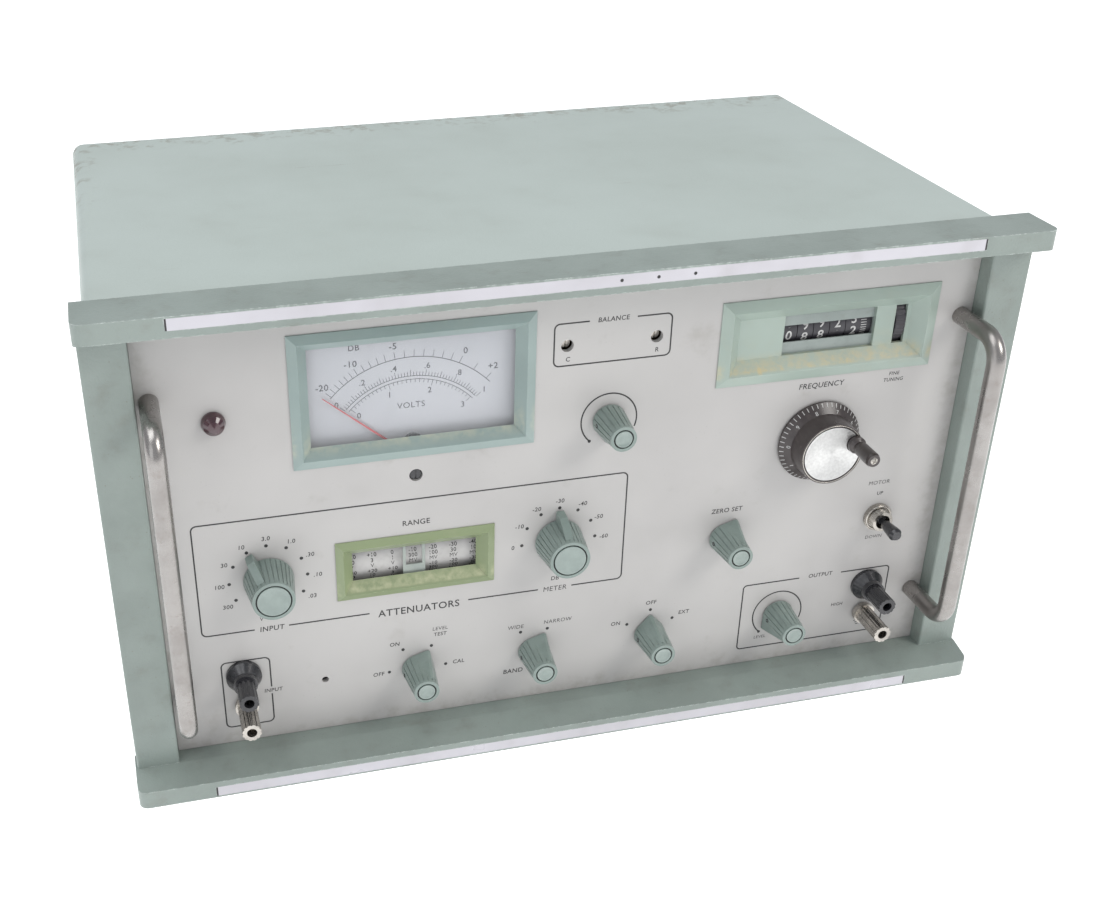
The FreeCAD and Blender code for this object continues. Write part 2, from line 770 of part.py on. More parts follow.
# ------------------------------------------------------------ counter and drum
def make_counter_frame():
    """The counter's frame: the slotted mask, two side plates and the wheels' shaft."""
    front = f"({PANEL} + display_floor + cover_thickness)"
    right = "(counter_left + 4 * counter_pitch + counter_last_width)"
    height = "(display_height - 2 * display_rim_inset)"
    left = "(counter_left - counter_side_gap - side_plate)"
    mask = box("mask_plate", f"{right} + counter_side_gap + side_plate - {left}", "mask_thickness", height,
               left, front, f"display_z - {height} / 2")
    slot = box("mask_slot_tool", f"{right} - counter_left", "3 * mask_thickness", "mask_slot",
               "counter_left", f"{front} - mask_thickness", "display_z - mask_slot / 2")
    plates = [box(f"side_{i}", "side_plate", "2 * counter_depth", height, x, front,
                  f"display_z - {height} / 2")
              for i, x in enumerate((left, f"{right} + counter_side_gap"))]
    shaft = rod("wheel_shaft", "right", "counter_shaft", f"thumb_x + thumb_width - {left}", left,
                f"{front} + counter_depth", "display_z")
    keep("counter_frame", fuse("counter_frame", [cut("mask", mask, [slot]), *plates, shaft]))


def make_wheel(name, radius, width, left, y, flutes=0):
    """A wheel on a cross shaft, with a fine milled rim where it is turned by thumb."""
    disc = rod(name + "_disc", "right", radius, width, left, y, "display_z")
    hole = rod(name + "_bore", "right", "counter_shaft + running_gap", f"3 * ({width})",
               f"{left} - ({width})", y, "display_z")
    if not flutes:
        return keep(name, cut(name, disc, [hole]))
    wheel = cut(name + "_blank", disc, [hole])
    doc.recompute()
    centre = wheel.Shape.BoundBox.Center
    start = Vector(centre.x - size("thumb_width"), centre.y,
                   centre.z + size("thumb_radius") + size("thumb_flute") / 2)
    grooves = []
    for i in range(flutes):
        groove = Part.makeCylinder(size("thumb_flute"), 2 * size("thumb_width"), start, Vector(1, 0, 0))
        groove.rotate(centre, Vector(1, 0, 0), i * 360.0 / flutes)
        grooves.append(groove)
    milled = doc.addObject("Part::Feature", name)
    milled.Shape = wheel.Shape.cut(grooves)
    return keep(name, milled)


def make_counter():
    """The digit wheels, the last one wider for its fine divisions, and the thumbwheel."""
    axis_y = f"({PANEL} + display_floor + cover_thickness + counter_depth)"
    for i in range(DIGIT_WHEELS):
        width = "counter_pitch - counter_side_gap" if i < DIGIT_WHEELS - 1 else "counter_last_width"
        make_wheel(f"counter_wheel_{i + 1}", "counter_radius", width, f"counter_left + {i} * counter_pitch",
                   axis_y)
    make_wheel("fine_tuning_wheel", "thumb_radius", "thumb_width", "thumb_x - thumb_width / 2", axis_y,
               THUMB_FLUTES)


def make_range_drum():
    """The figured drum behind the range window, its frame, and the cursor over one figure."""
    axis_y, axis_z = f"({PANEL} + drum_set_back)", "(range_z - drum_drop)"
    drum = rod("drum_blank", "right", "drum_radius", "drum_length", "range_x - drum_length / 2",
               axis_y, axis_z)
    bore = rod("drum_bore_tool", "right", "drum_bore", "2 * drum_length", "range_x - drum_length",
               axis_y, axis_z)
    keep("range_drum", cut("range_drum", drum, [bore]))
    reach = "(drum_length / 2 + counter_side_gap)"
    plates = [box(f"drum_plate_{i}", "side_plate", f"{axis_y} + 2 * drum_bore - {PANEL_BACK}",
                  "drum_radius", x, PANEL_BACK, f"{axis_z} - drum_radius / 2")
              for i, x in enumerate((f"range_x - {reach} - side_plate", f"range_x + {reach}"))]
    axle = rod("drum_axle", "right", "drum_bore - running_gap", f"2 * {reach} + 2 * side_plate",
               f"range_x - {reach} - side_plate", axis_y, axis_z)
    keep("drum_frame", fuse("drum_frame", [*plates, axle]))
    front = f"({PANEL} + cursor_set_back)"
    sheet_part = box("cursor_blank", "cursor_width", "cursor_thickness", "cursor_height",
                     "range_x - cursor_width / 2", front, "range_z - cursor_height / 2")
    window = box("cursor_window", "cursor_width - 2 * cursor_frame", "3 * cursor_thickness",
                 "cursor_height / 2", "range_x - cursor_width / 2 + cursor_frame",
                 f"{front} - cursor_thickness",
                 "range_z - cursor_height / 2 + cursor_height / 3")
    keep("range_cursor", cut("range_cursor", sheet_part, [window]))


# -------------------------------------------------------------------- knobs
KNOBS = [
    # name, x, z, style, angle of the pointer from upright, control behind it
    ("input_attenuator_knob", "input_knob_x", "attenuator_z", "large", -30.0, "switch"),
    ("meter_attenuator_knob", "meter_knob_x", "attenuator_z", "large", 0.0, "switch"),
    ("balance_knob", "balance_knob_x", "balance_knob_z", "small", -175.0, "pot"),
    ("zero_set_knob", "zero_knob_x", "zero_knob_z", "small", 30.0, "pot"),
    ("function_knob", "function_knob_x", "bottom_row_z", "small", 30.0, "switch"),
    ("band_knob", "band_knob_x", "bottom_row_z", "small", 30.0, "switch"),
    ("afc_knob", "afc_knob_x", "bottom_row_z", "small", 0.0, "switch"),
    ("output_level_knob", "level_knob_x", "bottom_row_z", "small", -135.0, "pot"),
]


def make_knob(name, x, z, style, angle):
    """A fluted tapered knob with a pointer, a recess for its insert and its spindle."""
    body = new_body(name, x, PANEL, z)
    body.Placement.Rotation = Rotation(Vector(0, 1, 0), angle)
    face, base, insert = f"{style}_face", f"{style}_base", f"{style}_insert"
    front = f"(-{style}_length)"
    profile = sketch_on(body, "XY_Plane")
    outline(profile, [("0", f"{front} + insert_depth"), (insert, f"{front} + insert_depth"), (insert, front),
                      (face, front), (base, "-knob_clear"), ("nut_size + 3 * cutout_gap", "-knob_clear"),
                      ("nut_size + 3 * cutout_gap", "-knob_clear - skirt_hollow"),
                      ("spindle", "-knob_clear - skirt_hollow"), ("spindle", "spindle_length"),
                      ("0", "spindle_length")])
    turn(body, profile)
    groove = sketch_on(body, "YZ_Plane")
    start, end = "-2 * knob_clear", f"({front} + groove_margin)"
    outline(groove, [(start, f"{base} - groove_depth"), (start, f"{base} + groove_margin"),
                     (end, f"{base} + groove_margin"), (end, f"{face} - groove_depth / 2")])
    grooves = pocket(body, groove, "groove_width")
    grooves.Midplane = True
    repeat_round(body, grooves, LARGE_FLUTES if style == "large" else SMALL_FLUTES)
    if style == "large":
        tail = sketch_on(body, "YZ_Plane")
        outline(tail, [("-knob_clear", f"-{face}"), ("-knob_clear", "-large_tail"),
                       ("-0.25 * large_length", "-large_tail + 0.6"), (f"0.5 * {front}", f"-{face}")])
        pad(body, tail, "large_tail_width", middle=True)
        pointer = sketch_on(body, "YZ_Plane")
        outline(pointer, [("-knob_clear", f"{base} - 2"), ("-knob_clear", "large_pointer"),
                          ("-0.35 * large_length", "large_pointer - 0.6"),
                          (f"{front} + 2.5 * insert_depth", f"{face} + 0.4"),
                          (f"{front} + 2.5 * insert_depth", f"{insert} + 0.6")])
        pad(body, pointer, "large_pointer_width", middle=True)
    else:
        add_teardrop(body, f"{front} + 2.5 * insert_depth")


def add_teardrop(body, front):
    """The flanks of a small knob, which meet at its pointer's tip and fade out near its face."""
    sections = []
    for radius, tip, out in (("small_base", "small_pointer", "-knob_clear"),
                             ("small_face", "small_face + teardrop_fade", front)):
        section = sketch_on(body, "XZ_Plane", out=f"-({out})")
        side, up = f"teardrop_side * {radius}", f"teardrop_rise * {radius}"
        outline(section, [(f"-{side}", up), ("-teardrop_tip", tip), ("teardrop_tip", tip), (side, up)])
        sections.append(section)
    loft(body, "AdditiveLoft", *sections)


def make_tuning_knob():
    """The skirted tuning knob, with the pin of its crank handle."""
    body = new_body("tuning_knob", "tuning_x", PANEL, "tuning_z")
    front = "(-tuning_length)"
    profile = sketch_on(body, "XY_Plane")
    outline(profile, [("0", f"{front} + tuning_insert_depth"),
                      ("tuning_insert", f"{front} + tuning_insert_depth"),
                      ("tuning_insert", front), ("tuning_face", front), ("tuning_grip",
                                                                         "-0.35 * tuning_length"),
                      ("tuning_skirt", "-2.5 * knob_clear"), ("tuning_skirt", "-knob_clear"),
                      ("spindle", "-knob_clear"), ("spindle", "-tuning_bore_depth"), ("0",
                                                                                      "-tuning_bore_depth")])
    turn(body, profile)
    pin = sketch_on(body, "XZ_Plane", x="crank_radius * cos(crank_angle * 1deg)",
                    y="crank_radius * sin(crank_angle * 1deg)", out="tuning_length - 2 * tuning_insert_depth")
    circle(pin, "crank_pin")
    pad(body, pin, "crank_length")


def make_crank():
    """The crank handle that spins on the tuning knob's pin."""
    body = new_body("crank_handle", "tuning_x + crank_radius * cos(crank_angle * 1deg)",
                    f"{PANEL} - tuning_length - cutout_gap",
                    "tuning_z + crank_radius * sin(crank_angle * 1deg)")
    profile = sketch_on(body, "XY_Plane")
    bore = "crank_pin + running_gap"
    outline(profile, [(bore, "0"), ("crank_collar", "0"), ("crank_collar", "-0.12 * crank_length"),
                      ("0.8 * crank_grip", "-0.2 * crank_length"), ("crank_grip", "-0.35 * crank_length"),
                      ("crank_grip", "-0.92 * crank_length"), ("0.85 * crank_grip", "-crank_length"),
                      (bore, "-crank_length")])
    turn(body, profile)


def make_tuning_drive():
    """The tuning shaft with its gear, and the motor whose pinion turns it."""
    shaft = rod("shaft_bar", "back", "spindle",
                f"{PANEL_BACK} + bulkhead_set_back + 6 * tray_thickness - ({PANEL})"
                " + tuning_bore_depth", "tuning_x", f"{PANEL} - tuning_bore_depth", "tuning_z")
    gear_y = f"({PANEL_BACK} + bulkhead_set_back - 2 * gear_width)"
    gear = rod("shaft_gear", "back", "tuning_gear", "gear_width", "tuning_x", gear_y, "tuning_z")
    keep("tuning_shaft", fuse("tuning_shaft", [shaft, gear]))
    pinion = rod("motor_pinion", "back", "tuning_pinion", "2 * gear_width + 2 * tray_thickness", MOTOR_X,
                 gear_y, "tuning_z")
    can = rod("motor_can", "back", "motor_radius", "motor_length", MOTOR_X,
              f"{PANEL_BACK} + bulkhead_set_back + tray_thickness", "tuning_z")
    keep("drive_motor", fuse("drive_motor", [pinion, can]))


# -------------------------------------------------------- groups of like pieces
def panel_y():
    """The front face of the panel."""
    return size("panel_recess") - size("rail_depth") / 2


def back_y():
    """The back face of the panel."""
    return panel_y() + size("panel_thickness")


def rear_y():
    """The outer face of the rear cover."""
    return size("overall_depth") - size("rail_depth") / 2


def group(name, shapes):
    """Like pieces that share a node, as separate solids."""
    thing = doc.addObject("Part::Feature", name)
    thing.Shape = Part.makeCompound(shapes)
    return keep(name, thing)


def bar(radius, x, z, y_from, y_to):
    """A solid round bar along Y."""
    return Part.makeCylinder(radius, y_to - y_from, Vector(x, y_from, z), Vector(0, 1, 0))


def hexagon(flats, x, z, y_from, y_to):
    """A six-sided bar along Y, by the distance across its flats."""
    corner = flats / 3 ** 0.5
    points = [Vector(x, y_from, z) + Rotation(Vector(0, 1, 0), 60 * i).multVec(Vector(0, 0, corner))
              for i in range(6)]
    face = Part.Face(Part.makePolygon(points + points[:1]))
    return face.extrude(Vector(0, y_to - y_from, 0))


def knob_places(kind=None):
    """The place of every control shaft, or of those with one kind of control."""
    return [(size(x), size(z)) for _, x, z, _, _, control in KNOBS if kind in (None, control)]


def make_groups():
    """Bushings, switches, potentiometers, strips, screws, feet and collars."""
    front, back = panel_y(), back_y()
    clear = size("spindle") + size("running_gap")
    bushing_end = back + size("bushing_back")
    bushings = []
    for x, z in knob_places():
        nut = hexagon(size("nut_flats"), x, z, front - size("nut_height"), front)
        barrel = bar(size("bushing"), x, z, front - size("nut_height"), bushing_end)
        bushings.append(nut.fuse(barrel).cut(bar(clear, x, z, front - size("nut_height"),
                                                 bushing_end)).removeSplitter())
    group("knob_bushings", bushings)
    for name, kind, radius, length in (("rotary_switches", "switch", "switch_radius", "switch_length"),
                                       ("potentiometers", "pot", "pot_radius", "pot_length")):
        end = bushing_end + size(length)
        group(name, [bar(size(radius), x, z, bushing_end, end).cut(bar(clear, x, z, front, end))
                     for x, z in knob_places(kind)])
    rail_front = -size("rail_depth") / 2
    strip = [size("strip_length"), size("strip_depth"), size("strip_height")]
    group("rail_strips", [Part.makeBox(*strip, Vector(-strip[0] / 2, rail_front, z)) for z in
                          (size("strip_edge"), size("overall_height") - size("strip_edge") - strip[2])])
    foot = [size("foot_length"), size("foot_width"), size("rail_proud")]
    inset = size("foot_inset")
    half = size("case_half_width")
    foot_y = rear_y() - inset - foot[1]
    group("rear_feet", [Part.makeBox(*foot, Vector(x, foot_y, 0)) for x in (-half + inset,
                                                                            half - inset - foot[0])])
    nut_back = back + size("post_nut_height")
    stud_front = front - size("post_cap_length") + size("post_socket_depth") + size("post_seat")
    studs = []
    for x in (size("post_pair_left"), size("post_pair_right")):
        for z in (size("post_upper_z"), size("post_lower_z")):
            nut = bar(size("post_nut"), x, z, back, nut_back)
            studs.append(nut.fuse(bar(size("post_stud"), x, z, stud_front, nut_back + size("screw_length"))))
    group("post_studs", [stud.removeSplitter() for stud in studs])


def make_cover_screws():
    """The screws of the rear cover, heads outside and shanks inside."""
    back = rear_y()
    across = size("case_half_width") - size("case_wall") - 5 * size("screw_head")
    lift = size("rail_proud") + size("case_wall") + 3 * size("screw_head")
    screws = []
    for z in (lift, size("overall_height") - lift):
        for side in (-1, 0, 1):
            shank = bar(size("screw_shank"), side * across, z, back - size("screw_length"), back)
            head = bar(size("screw_head"), side * across, z, back, back + size("screw_head_height"))
            screws.append(head.fuse(shank).removeSplitter())
    group("rear_cover_screws", screws)


# ------------------------------------------------- toggle, posts, lamp and rest
def make_toggle():
    """The motor switch: its body and bushing, and the sprung lever."""
    body_y = PANEL_BACK
    shell = box("toggle_box", "toggle_body_width", "toggle_body_depth", "toggle_body_height",
                "toggle_x - toggle_body_width / 2", body_y, "toggle_z - toggle_body_height / 2")
    bush = rod("toggle_bush", "back", "toggle_bushing", "toggle_front + panel_thickness", "toggle_x",
               f"{PANEL} - toggle_front", "toggle_z")
    nut = rod("toggle_ring", "back", "toggle_nut", "nut_height", "toggle_x", f"{PANEL} - nut_height",
              "toggle_z")
    bore = rod("toggle_bore", "back", "toggle_bore", "toggle_front + panel_thickness + toggle_body_depth / 2",
               "toggle_x", f"{PANEL} - toggle_front", "toggle_z")
    keep("toggle_body", cut("toggle_body", fuse("toggle_solid", [shell, bush, nut]), [bore]))
    body = new_body("toggle_lever", "toggle_x", f"{PANEL} - toggle_pivot", "toggle_z")
    profile = sketch_on(body, "XY_Plane")
    tip = "(toggle_pivot - toggle_reach)"
    outline(profile, [("0", tip), ("0.7 * toggle_tip", tip), ("toggle_tip", f"{tip} + 0.5 * toggle_tip"),
                      ("toggle_tip", f"{tip} + toggle_tip"), ("0.75 * toggle_tip", "-toggle_front"),
                      ("toggle_neck", "-toggle_front"), ("toggle_neck", "-0.8 * toggle_ball"),
                      ("0.8 * toggle_ball", "-0.6 * toggle_ball"), ("toggle_ball", "0"),
                      ("0.6 * toggle_ball", "0.8 * toggle_ball"), ("0", "toggle_ball")])
    turn(body, profile)
    pin = sketch_on(body, "YZ_Plane")
    circle(pin, "toggle_pin", "0", "0")
    pad(body, pin, "2 * (toggle_bore - 2 * cutout_gap)", middle=True)


def make_post_cap(name, x, z, insulated):
    """A binding post's turning cap: a fluted sleeve with a socket in its end."""
    body = new_body(name, x, PANEL, z)
    seat = "(post_seat + post_collar_height)" if insulated else "post_seat"
    base = sketch_on(body, "XZ_Plane", out=f"{seat} + cutout_gap")
    circle(base, "post_ring")
    pad(body, base, "post_ring_height")
    sleeve = sketch_on(body, "XZ_Plane", out=f"{seat} + cutout_gap")
    circle(sleeve, "post_sleeve")
    pad(body, sleeve, f"post_cap_length - {seat} - cutout_gap")
    flute = sketch_on(body, "XZ_Plane", out=f"{seat} + post_ring_height + post_seat")
    circle(flute, "post_flute", "0", "post_sleeve + post_flute / 2")
    flutes = pocket(body, flute, "post_cap_length")
    flutes.Reversed = True
    repeat_round(body, flutes, POST_FLUTES)
    socket = sketch_on(body, "XZ_Plane", out="post_cap_length")
    circle(socket, "post_socket")
    pocket(body, socket, "post_socket_depth")
    bore = sketch_on(body, "XZ_Plane", out="post_cap_length - post_socket_depth")
    circle(bore, "post_stud + running_gap")
    pocket(body, bore, "post_cap_length")


def make_collars():
    """The black collars under the insulated posts' caps."""
    x_places = (size("post_pair_left"), size("post_pair_right"))
    front = panel_y()
    height = size("post_collar_height") + size("post_seat")
    radius, rim = size("post_collar"), size("post_rim")
    z = size("post_upper_z")
    collars = []
    for x in x_places:
        cone = Part.makeCone(radius, size("post_collar_top"), height - rim, Vector(x, front - rim, z),
                             Vector(0, -1, 0))
        solid = bar(radius, x, z, front - rim, front).fuse(cone)
        bore = bar(size("post_stud") + size("running_gap"), x, z, front - height, front)
        collars.append(solid.cut(bore).removeSplitter())
    group("post_collars", collars)


def make_lamp():
    """The pilot lamp: a domed lens on its barrel."""
    body = new_body("pilot_lamp", "lamp_x", PANEL, "lamp_z")
    profile = sketch_on(body, "XY_Plane")
    outline(profile, [("0", "-lamp_height"), ("0.5 * lamp_radius", "-0.88 * lamp_height"),
                      ("0.85 * lamp_radius", "-0.6 * lamp_height"), ("lamp_radius", "-0.2 * lamp_height"),
                      ("lamp_radius", "0"), ("lamp_barrel", "0"), ("lamp_barrel", "4 * panel_thickness"),
                      ("0", "4 * panel_thickness")])
    turn(body, profile)


def make_insides():
    """The circuit board, mains transformer and mains inlet."""
    board = box("circuit_board", "board_right - board_left", "board_thickness",
                f"board_top - {FLOOR} - tray_thickness", "board_left", f"{PANEL_BACK} + board_set_back",
                f"{FLOOR} + tray_thickness")
    keep("circuit_board", board)
    core = box("core", "transformer_width", "transformer_depth / 2", "transformer_height",
               "transformer_x - transformer_width / 2", "transformer_y - transformer_depth / 4",
               f"{FLOOR} + tray_thickness")
    bell = box("bell", "transformer_width * 0.7", "transformer_depth", "transformer_height * 0.8",
               "transformer_x - transformer_width * 0.35", "transformer_y - transformer_depth / 2",
               f"{FLOOR} + tray_thickness")
    keep("power_transformer", fuse("power_transformer", [core, bell]))
    inside = box("inlet_box", "inlet_width", "inlet_depth", "inlet_height", "inlet_x - inlet_width / 2",
                 f"{BACK} - inlet_depth", "inlet_z - inlet_height / 2")
    flange = box("inlet_flange", "inlet_width + 2 * inlet_rim", "cover_thickness",
                 "inlet_height + 2 * inlet_rim",
                 "inlet_x - inlet_width / 2 - inlet_rim", BACK, "inlet_z - inlet_height / 2 - inlet_rim")
    well = box("inlet_well", "inlet_width - 2 * inlet_rim", "inlet_depth", "inlet_height - 2 * inlet_rim",
               "inlet_x - inlet_width / 2 + inlet_rim", f"{BACK} - inlet_depth + 1.5 * inlet_rim",
               "inlet_z - inlet_height / 2 + inlet_rim")
    keep("power_inlet", cut("power_inlet", fuse("inlet_solid", [inside, flange]), [well]))


# --------------------------------------------------------------------- build
def build():
    """Make every sub-part."""
    make_rail("sill_rail", "0", "")
    make_rail("crown_rail", "overall_height", "-")
    make_post("left_post", "-post_inner - post_width")
    make_post("right_post", "post_inner")
    make_case_shell()
    make_rear_cover()
    make_tray()
    make_panel()
    make_handle("left_handle", "-handle_x")
    make_handle("right_handle", "handle_x")
    make_bezel("meter", "meter_bezel")
    make_bezel("range", "range_bezel")
    make_display_bezel()
    make_meter()
    make_needle()
    slotted_screw("zero_adjuster", "meter_x", "zero_screw_z", "zero_screw_head", "zero_screw_depth",
                  "zero_screw_shank", "2 * meter_case_wall", f"{PANEL_BACK} - zero_screw_depth")
    make_counter_frame()
    make_counter()
    make_range_drum()
    for name, x, z, style, angle, _ in KNOBS:
        make_knob(name, x, z, style, angle)
    make_tuning_knob()
    make_crank()
    make_tuning_drive()
    make_groups()
    make_cover_screws()
    make_toggle()
    for side, x in (("input", "post_pair_left"), ("output", "post_pair_right")):
        make_post_cap(f"{side}_post_cap", x, "post_upper_z", True)
        make_post_cap(f"{side}_ground_cap", x, "post_lower_z", False)
    make_collars()
    make_lamp()
    for name in ("cap_trimmer", "res_trimmer"):
        slotted_screw(name, f"{name}_x", "trimmer_z", "trimmer_radius", "trimmer_head", "trimmer_shank",
                      "board_set_back - trimmer_head - trimmer_depth - cutout_gap",
                      f"{PANEL_BACK} + trimmer_depth")
    make_insides()


def check_and_write():
    """Refuse failed features and empty shapes, then write a STEP file for each node."""
    doc.recompute()
    failed = [f"{o.Name}: {o.State}" for o in doc.Objects if {"Invalid", "Error"} & set(o.State)]
    if failed:
        raise RuntimeError("failed features: " + "; ".join(failed))
    for name, thing in nodes.items():
        if thing.Shape.isNull() or not thing.Shape.isValid() or thing.Shape.Volume <= 0:
            raise RuntimeError("bad shape: " + name)
    os.makedirs("parts", exist_ok=True)
    for name, thing in nodes.items():
        thing.Shape.exportStep(f"parts/{name}.step")
    print(len(nodes), "nodes written")


build()
check_and_write()
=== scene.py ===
import json
import logging
import math
from dataclasses import dataclass, field
from enum import Enum
from typing import Callable, Iterable, Optional, Union

import bmesh
import bpy
from mathutils import Matrix, Vector


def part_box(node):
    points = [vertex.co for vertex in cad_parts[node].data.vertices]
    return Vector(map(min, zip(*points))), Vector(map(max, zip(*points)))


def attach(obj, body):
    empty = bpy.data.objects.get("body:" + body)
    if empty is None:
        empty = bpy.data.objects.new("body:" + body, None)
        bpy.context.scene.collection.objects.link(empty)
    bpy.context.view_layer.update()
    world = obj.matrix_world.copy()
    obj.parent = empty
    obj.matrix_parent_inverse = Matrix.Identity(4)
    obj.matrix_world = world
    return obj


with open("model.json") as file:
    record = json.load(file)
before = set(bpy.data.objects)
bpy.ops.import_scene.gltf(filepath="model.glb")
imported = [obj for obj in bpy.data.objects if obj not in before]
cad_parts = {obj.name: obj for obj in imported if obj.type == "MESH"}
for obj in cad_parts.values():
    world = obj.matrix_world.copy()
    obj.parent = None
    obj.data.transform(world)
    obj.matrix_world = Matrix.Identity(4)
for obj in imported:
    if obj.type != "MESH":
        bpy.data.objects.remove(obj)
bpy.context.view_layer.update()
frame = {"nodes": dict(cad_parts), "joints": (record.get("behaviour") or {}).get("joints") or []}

# Looks of a laboratory wave analyser.  Places are metres in the frame's axes: X to
# the operator's right, Y from front to back and Z up.  Sizes written with MM are
# millimetres, as an instrument maker gives them.
MM = 0.001
LOG = logging.getLogger("wave_analyser")

Rgb = tuple[float, float, float]
Number = Union[float, "Field"]
Place = tuple[float, float, float]


class Slot(Enum):
    """The record's material slots, noted on the figured cylinders but not read."""

    INK = "wheel_black"
    WHITE = "drum_white"
    KNOB = "knob_green"
    NICKEL = "nickel"
    STRIP = "strip_metal"


class Axis(Enum):
    """A direction of the frame."""

    X = Vector((1, 0, 0))
    Z = Vector((0, 0, 1))


# ------------------------------------------------------------------ shader maths
@dataclass(frozen=True)
class Field:
    """A number that varies over a surface: a shader socket that operators work on."""

    shader: "Shader"
    socket: bpy.types.NodeSocket

    def __add__(self, other: Number) -> "Field":
        """Sum."""
        return self.shader.maths("ADD", self, other)

    def __sub__(self, other: Number) -> "Field":
        """Difference."""
        return self.shader.maths("SUBTRACT", self, other)

    def __rsub__(self, other: Number) -> "Field":
        """A number less this."""
        return self.shader.maths("SUBTRACT", other, self)

    def __mul__(self, other: Number) -> "Field":
        """Product."""
        return self.shader.maths("MULTIPLY", self, other)

    def __truediv__(self, other: Number) -> "Field":
        """Quotient."""
        return self.shader.maths("DIVIDE", self, other)

    def __abs__(self) -> "Field":
        """Size without sign."""
        return self.shader.maths("ABSOLUTE", self)

    __radd__ = __add__
    __rmul__ = __mul__


class Shader:
    """A material's node tree, written as Python expressions."""

    def __init__(self, name: str) -> None:
        """Start an empty tree.

        Args:
            name: The material's name.
        """
        self.material = bpy.data.materials.new(name)
        self.material.use_nodes = True
        self.tree = self.material.node_tree
        self.tree.nodes.clear()
        self.output = self.tree.nodes.new("ShaderNodeOutputMaterial")
        self.coordinates = self.node("ShaderNodeTexCoord").outputs["Object"]

    def node(self, kind: str, settings: Optional[dict] = None,
             inputs: Optional[dict] = None) -> bpy.types.Node:
        """Add any node.

        Args:
            kind: The node's type.
            settings: Its properties, set first.
            inputs: Its sockets' values or links, by name or number.

        Returns:
            The node.
        """
        made = self.tree.nodes.new(kind)
        for key, value in (settings or {}).items():
            setattr(made, key, value)
        for key, value in (inputs or {}).items():
            self.feed(made.inputs[key], value)
        return made

    def feed(self, socket: bpy.types.NodeSocket, value: object) -> None:
        """Link a socket, or set it.

        Args:
            socket: The input to fill.
            value: A field, a socket, a number, a colour or a vector.
        """
        source = value.socket if isinstance(value, Field) else value
        if isinstance(source, bpy.types.NodeSocket):
            self.tree.links.new(source, socket)
        elif socket.type == "RGBA":
            socket.default_value = (*source, 1.0)
        else:
            socket.default_value = source

    def maths(self, operation: str, *values: Number) -> Field:
        """One Math node as a field."""
        return Field(self, self.node("ShaderNodeMath", {"operation": operation},
                                     dict(enumerate(values))).outputs[0])

    def position(self) -> tuple[Field, Field, Field]:
        """The X, Y and Z of the surface point, in metres."""
        split = self.node("ShaderNodeSeparateXYZ", None, {0: self.coordinates})
        return tuple(Field(self, out) for out in split.outputs)

    def stretched(self, scale: tuple[float, float, float]) -> bpy.types.NodeSocket:
        """The surface point with each axis scaled."""
        return self.node("ShaderNodeMapping", None,
                         {"Vector": self.coordinates, "Scale": scale}).outputs[0]

    def noise(self, size: float, detail: float = 4.0,
              stretch: tuple[float, float, float] = (1, 1, 1)) -> Field:
        """Cloudy noise.

        Args:
            size: How wide one cloud is, in metres.
            detail: How many finer layers it has.
            stretch: A further scale for each axis.

        Returns:
            A field about 0.5.
        """
        made = self.node("ShaderNodeTexNoise", None, {"Vector": self.stretched(stretch), "Scale": 1 / size,
                                                      "Detail": detail, "Roughness": 0.6})
        return Field(self, made.outputs[0])

    def cells(self, size: float) -> Field:
        """The distance to the nearest of many scattered points, in cells.

        Args:
            size: How far apart the points are, in metres.

        Returns:
            A field that is zero at each point.
        """
        made = self.node("ShaderNodeTexVoronoi", None, {"Vector": self.coordinates, "Scale": 1 / size})
        return Field(self, made.outputs["Distance"])

    def ramp(self, value: Number, low: float, high: float) -> Field:
        """A smooth step from 0 at low to 1 at high, whichever way round they are."""
        made = self.node("ShaderNodeMapRange", {"interpolation_type": "SMOOTHSTEP"},
                         {"Value": value, "From Min": low, "From Max": high})
        return Field(self, made.outputs[0])

    def blend(self, factor: Number, first: object, second: object) -> bpy.types.NodeSocket:
        """Two colours mixed by a field."""
        made = self.node("ShaderNodeMix", {"data_type": "RGBA"}, {"Factor": factor, 6: first, 7: second})
        return made.outputs[2]

    def edges(self, width: float) -> Field:
        """Where the surface bends sharply within a width, 1 on an edge and 0 on a flat."""
        softened = self.node("ShaderNodeBevel", {"samples": 4}, {"Radius": width}).outputs[0]
        true = self.node("ShaderNodeNewGeometry").outputs["Normal"]
        dot = self.node("ShaderNodeVectorMath", {"operation": "DOT_PRODUCT"}, {0: softened, 1: true})
        return 1.0 - Field(self, dot.outputs["Value"])

    def bump(self, height: Field, depth: float) -> bpy.types.NodeSocket:
        """A normal tilted by a height field, whose full step is a depth in metres."""
        return self.node("ShaderNodeBump", None, {"Height": height, "Distance": depth}).outputs[0]

    def finish(self, inputs: dict) -> bpy.types.Material:
        """Close the tree with a principled surface.

        Args:
            inputs: The surface's sockets.

        Returns:
            The material.
        """
        surface = self.node("ShaderNodeBsdfPrincipled", None, inputs)
        self.tree.links.new(surface.outputs[0], self.output.inputs[0])
        return self.material


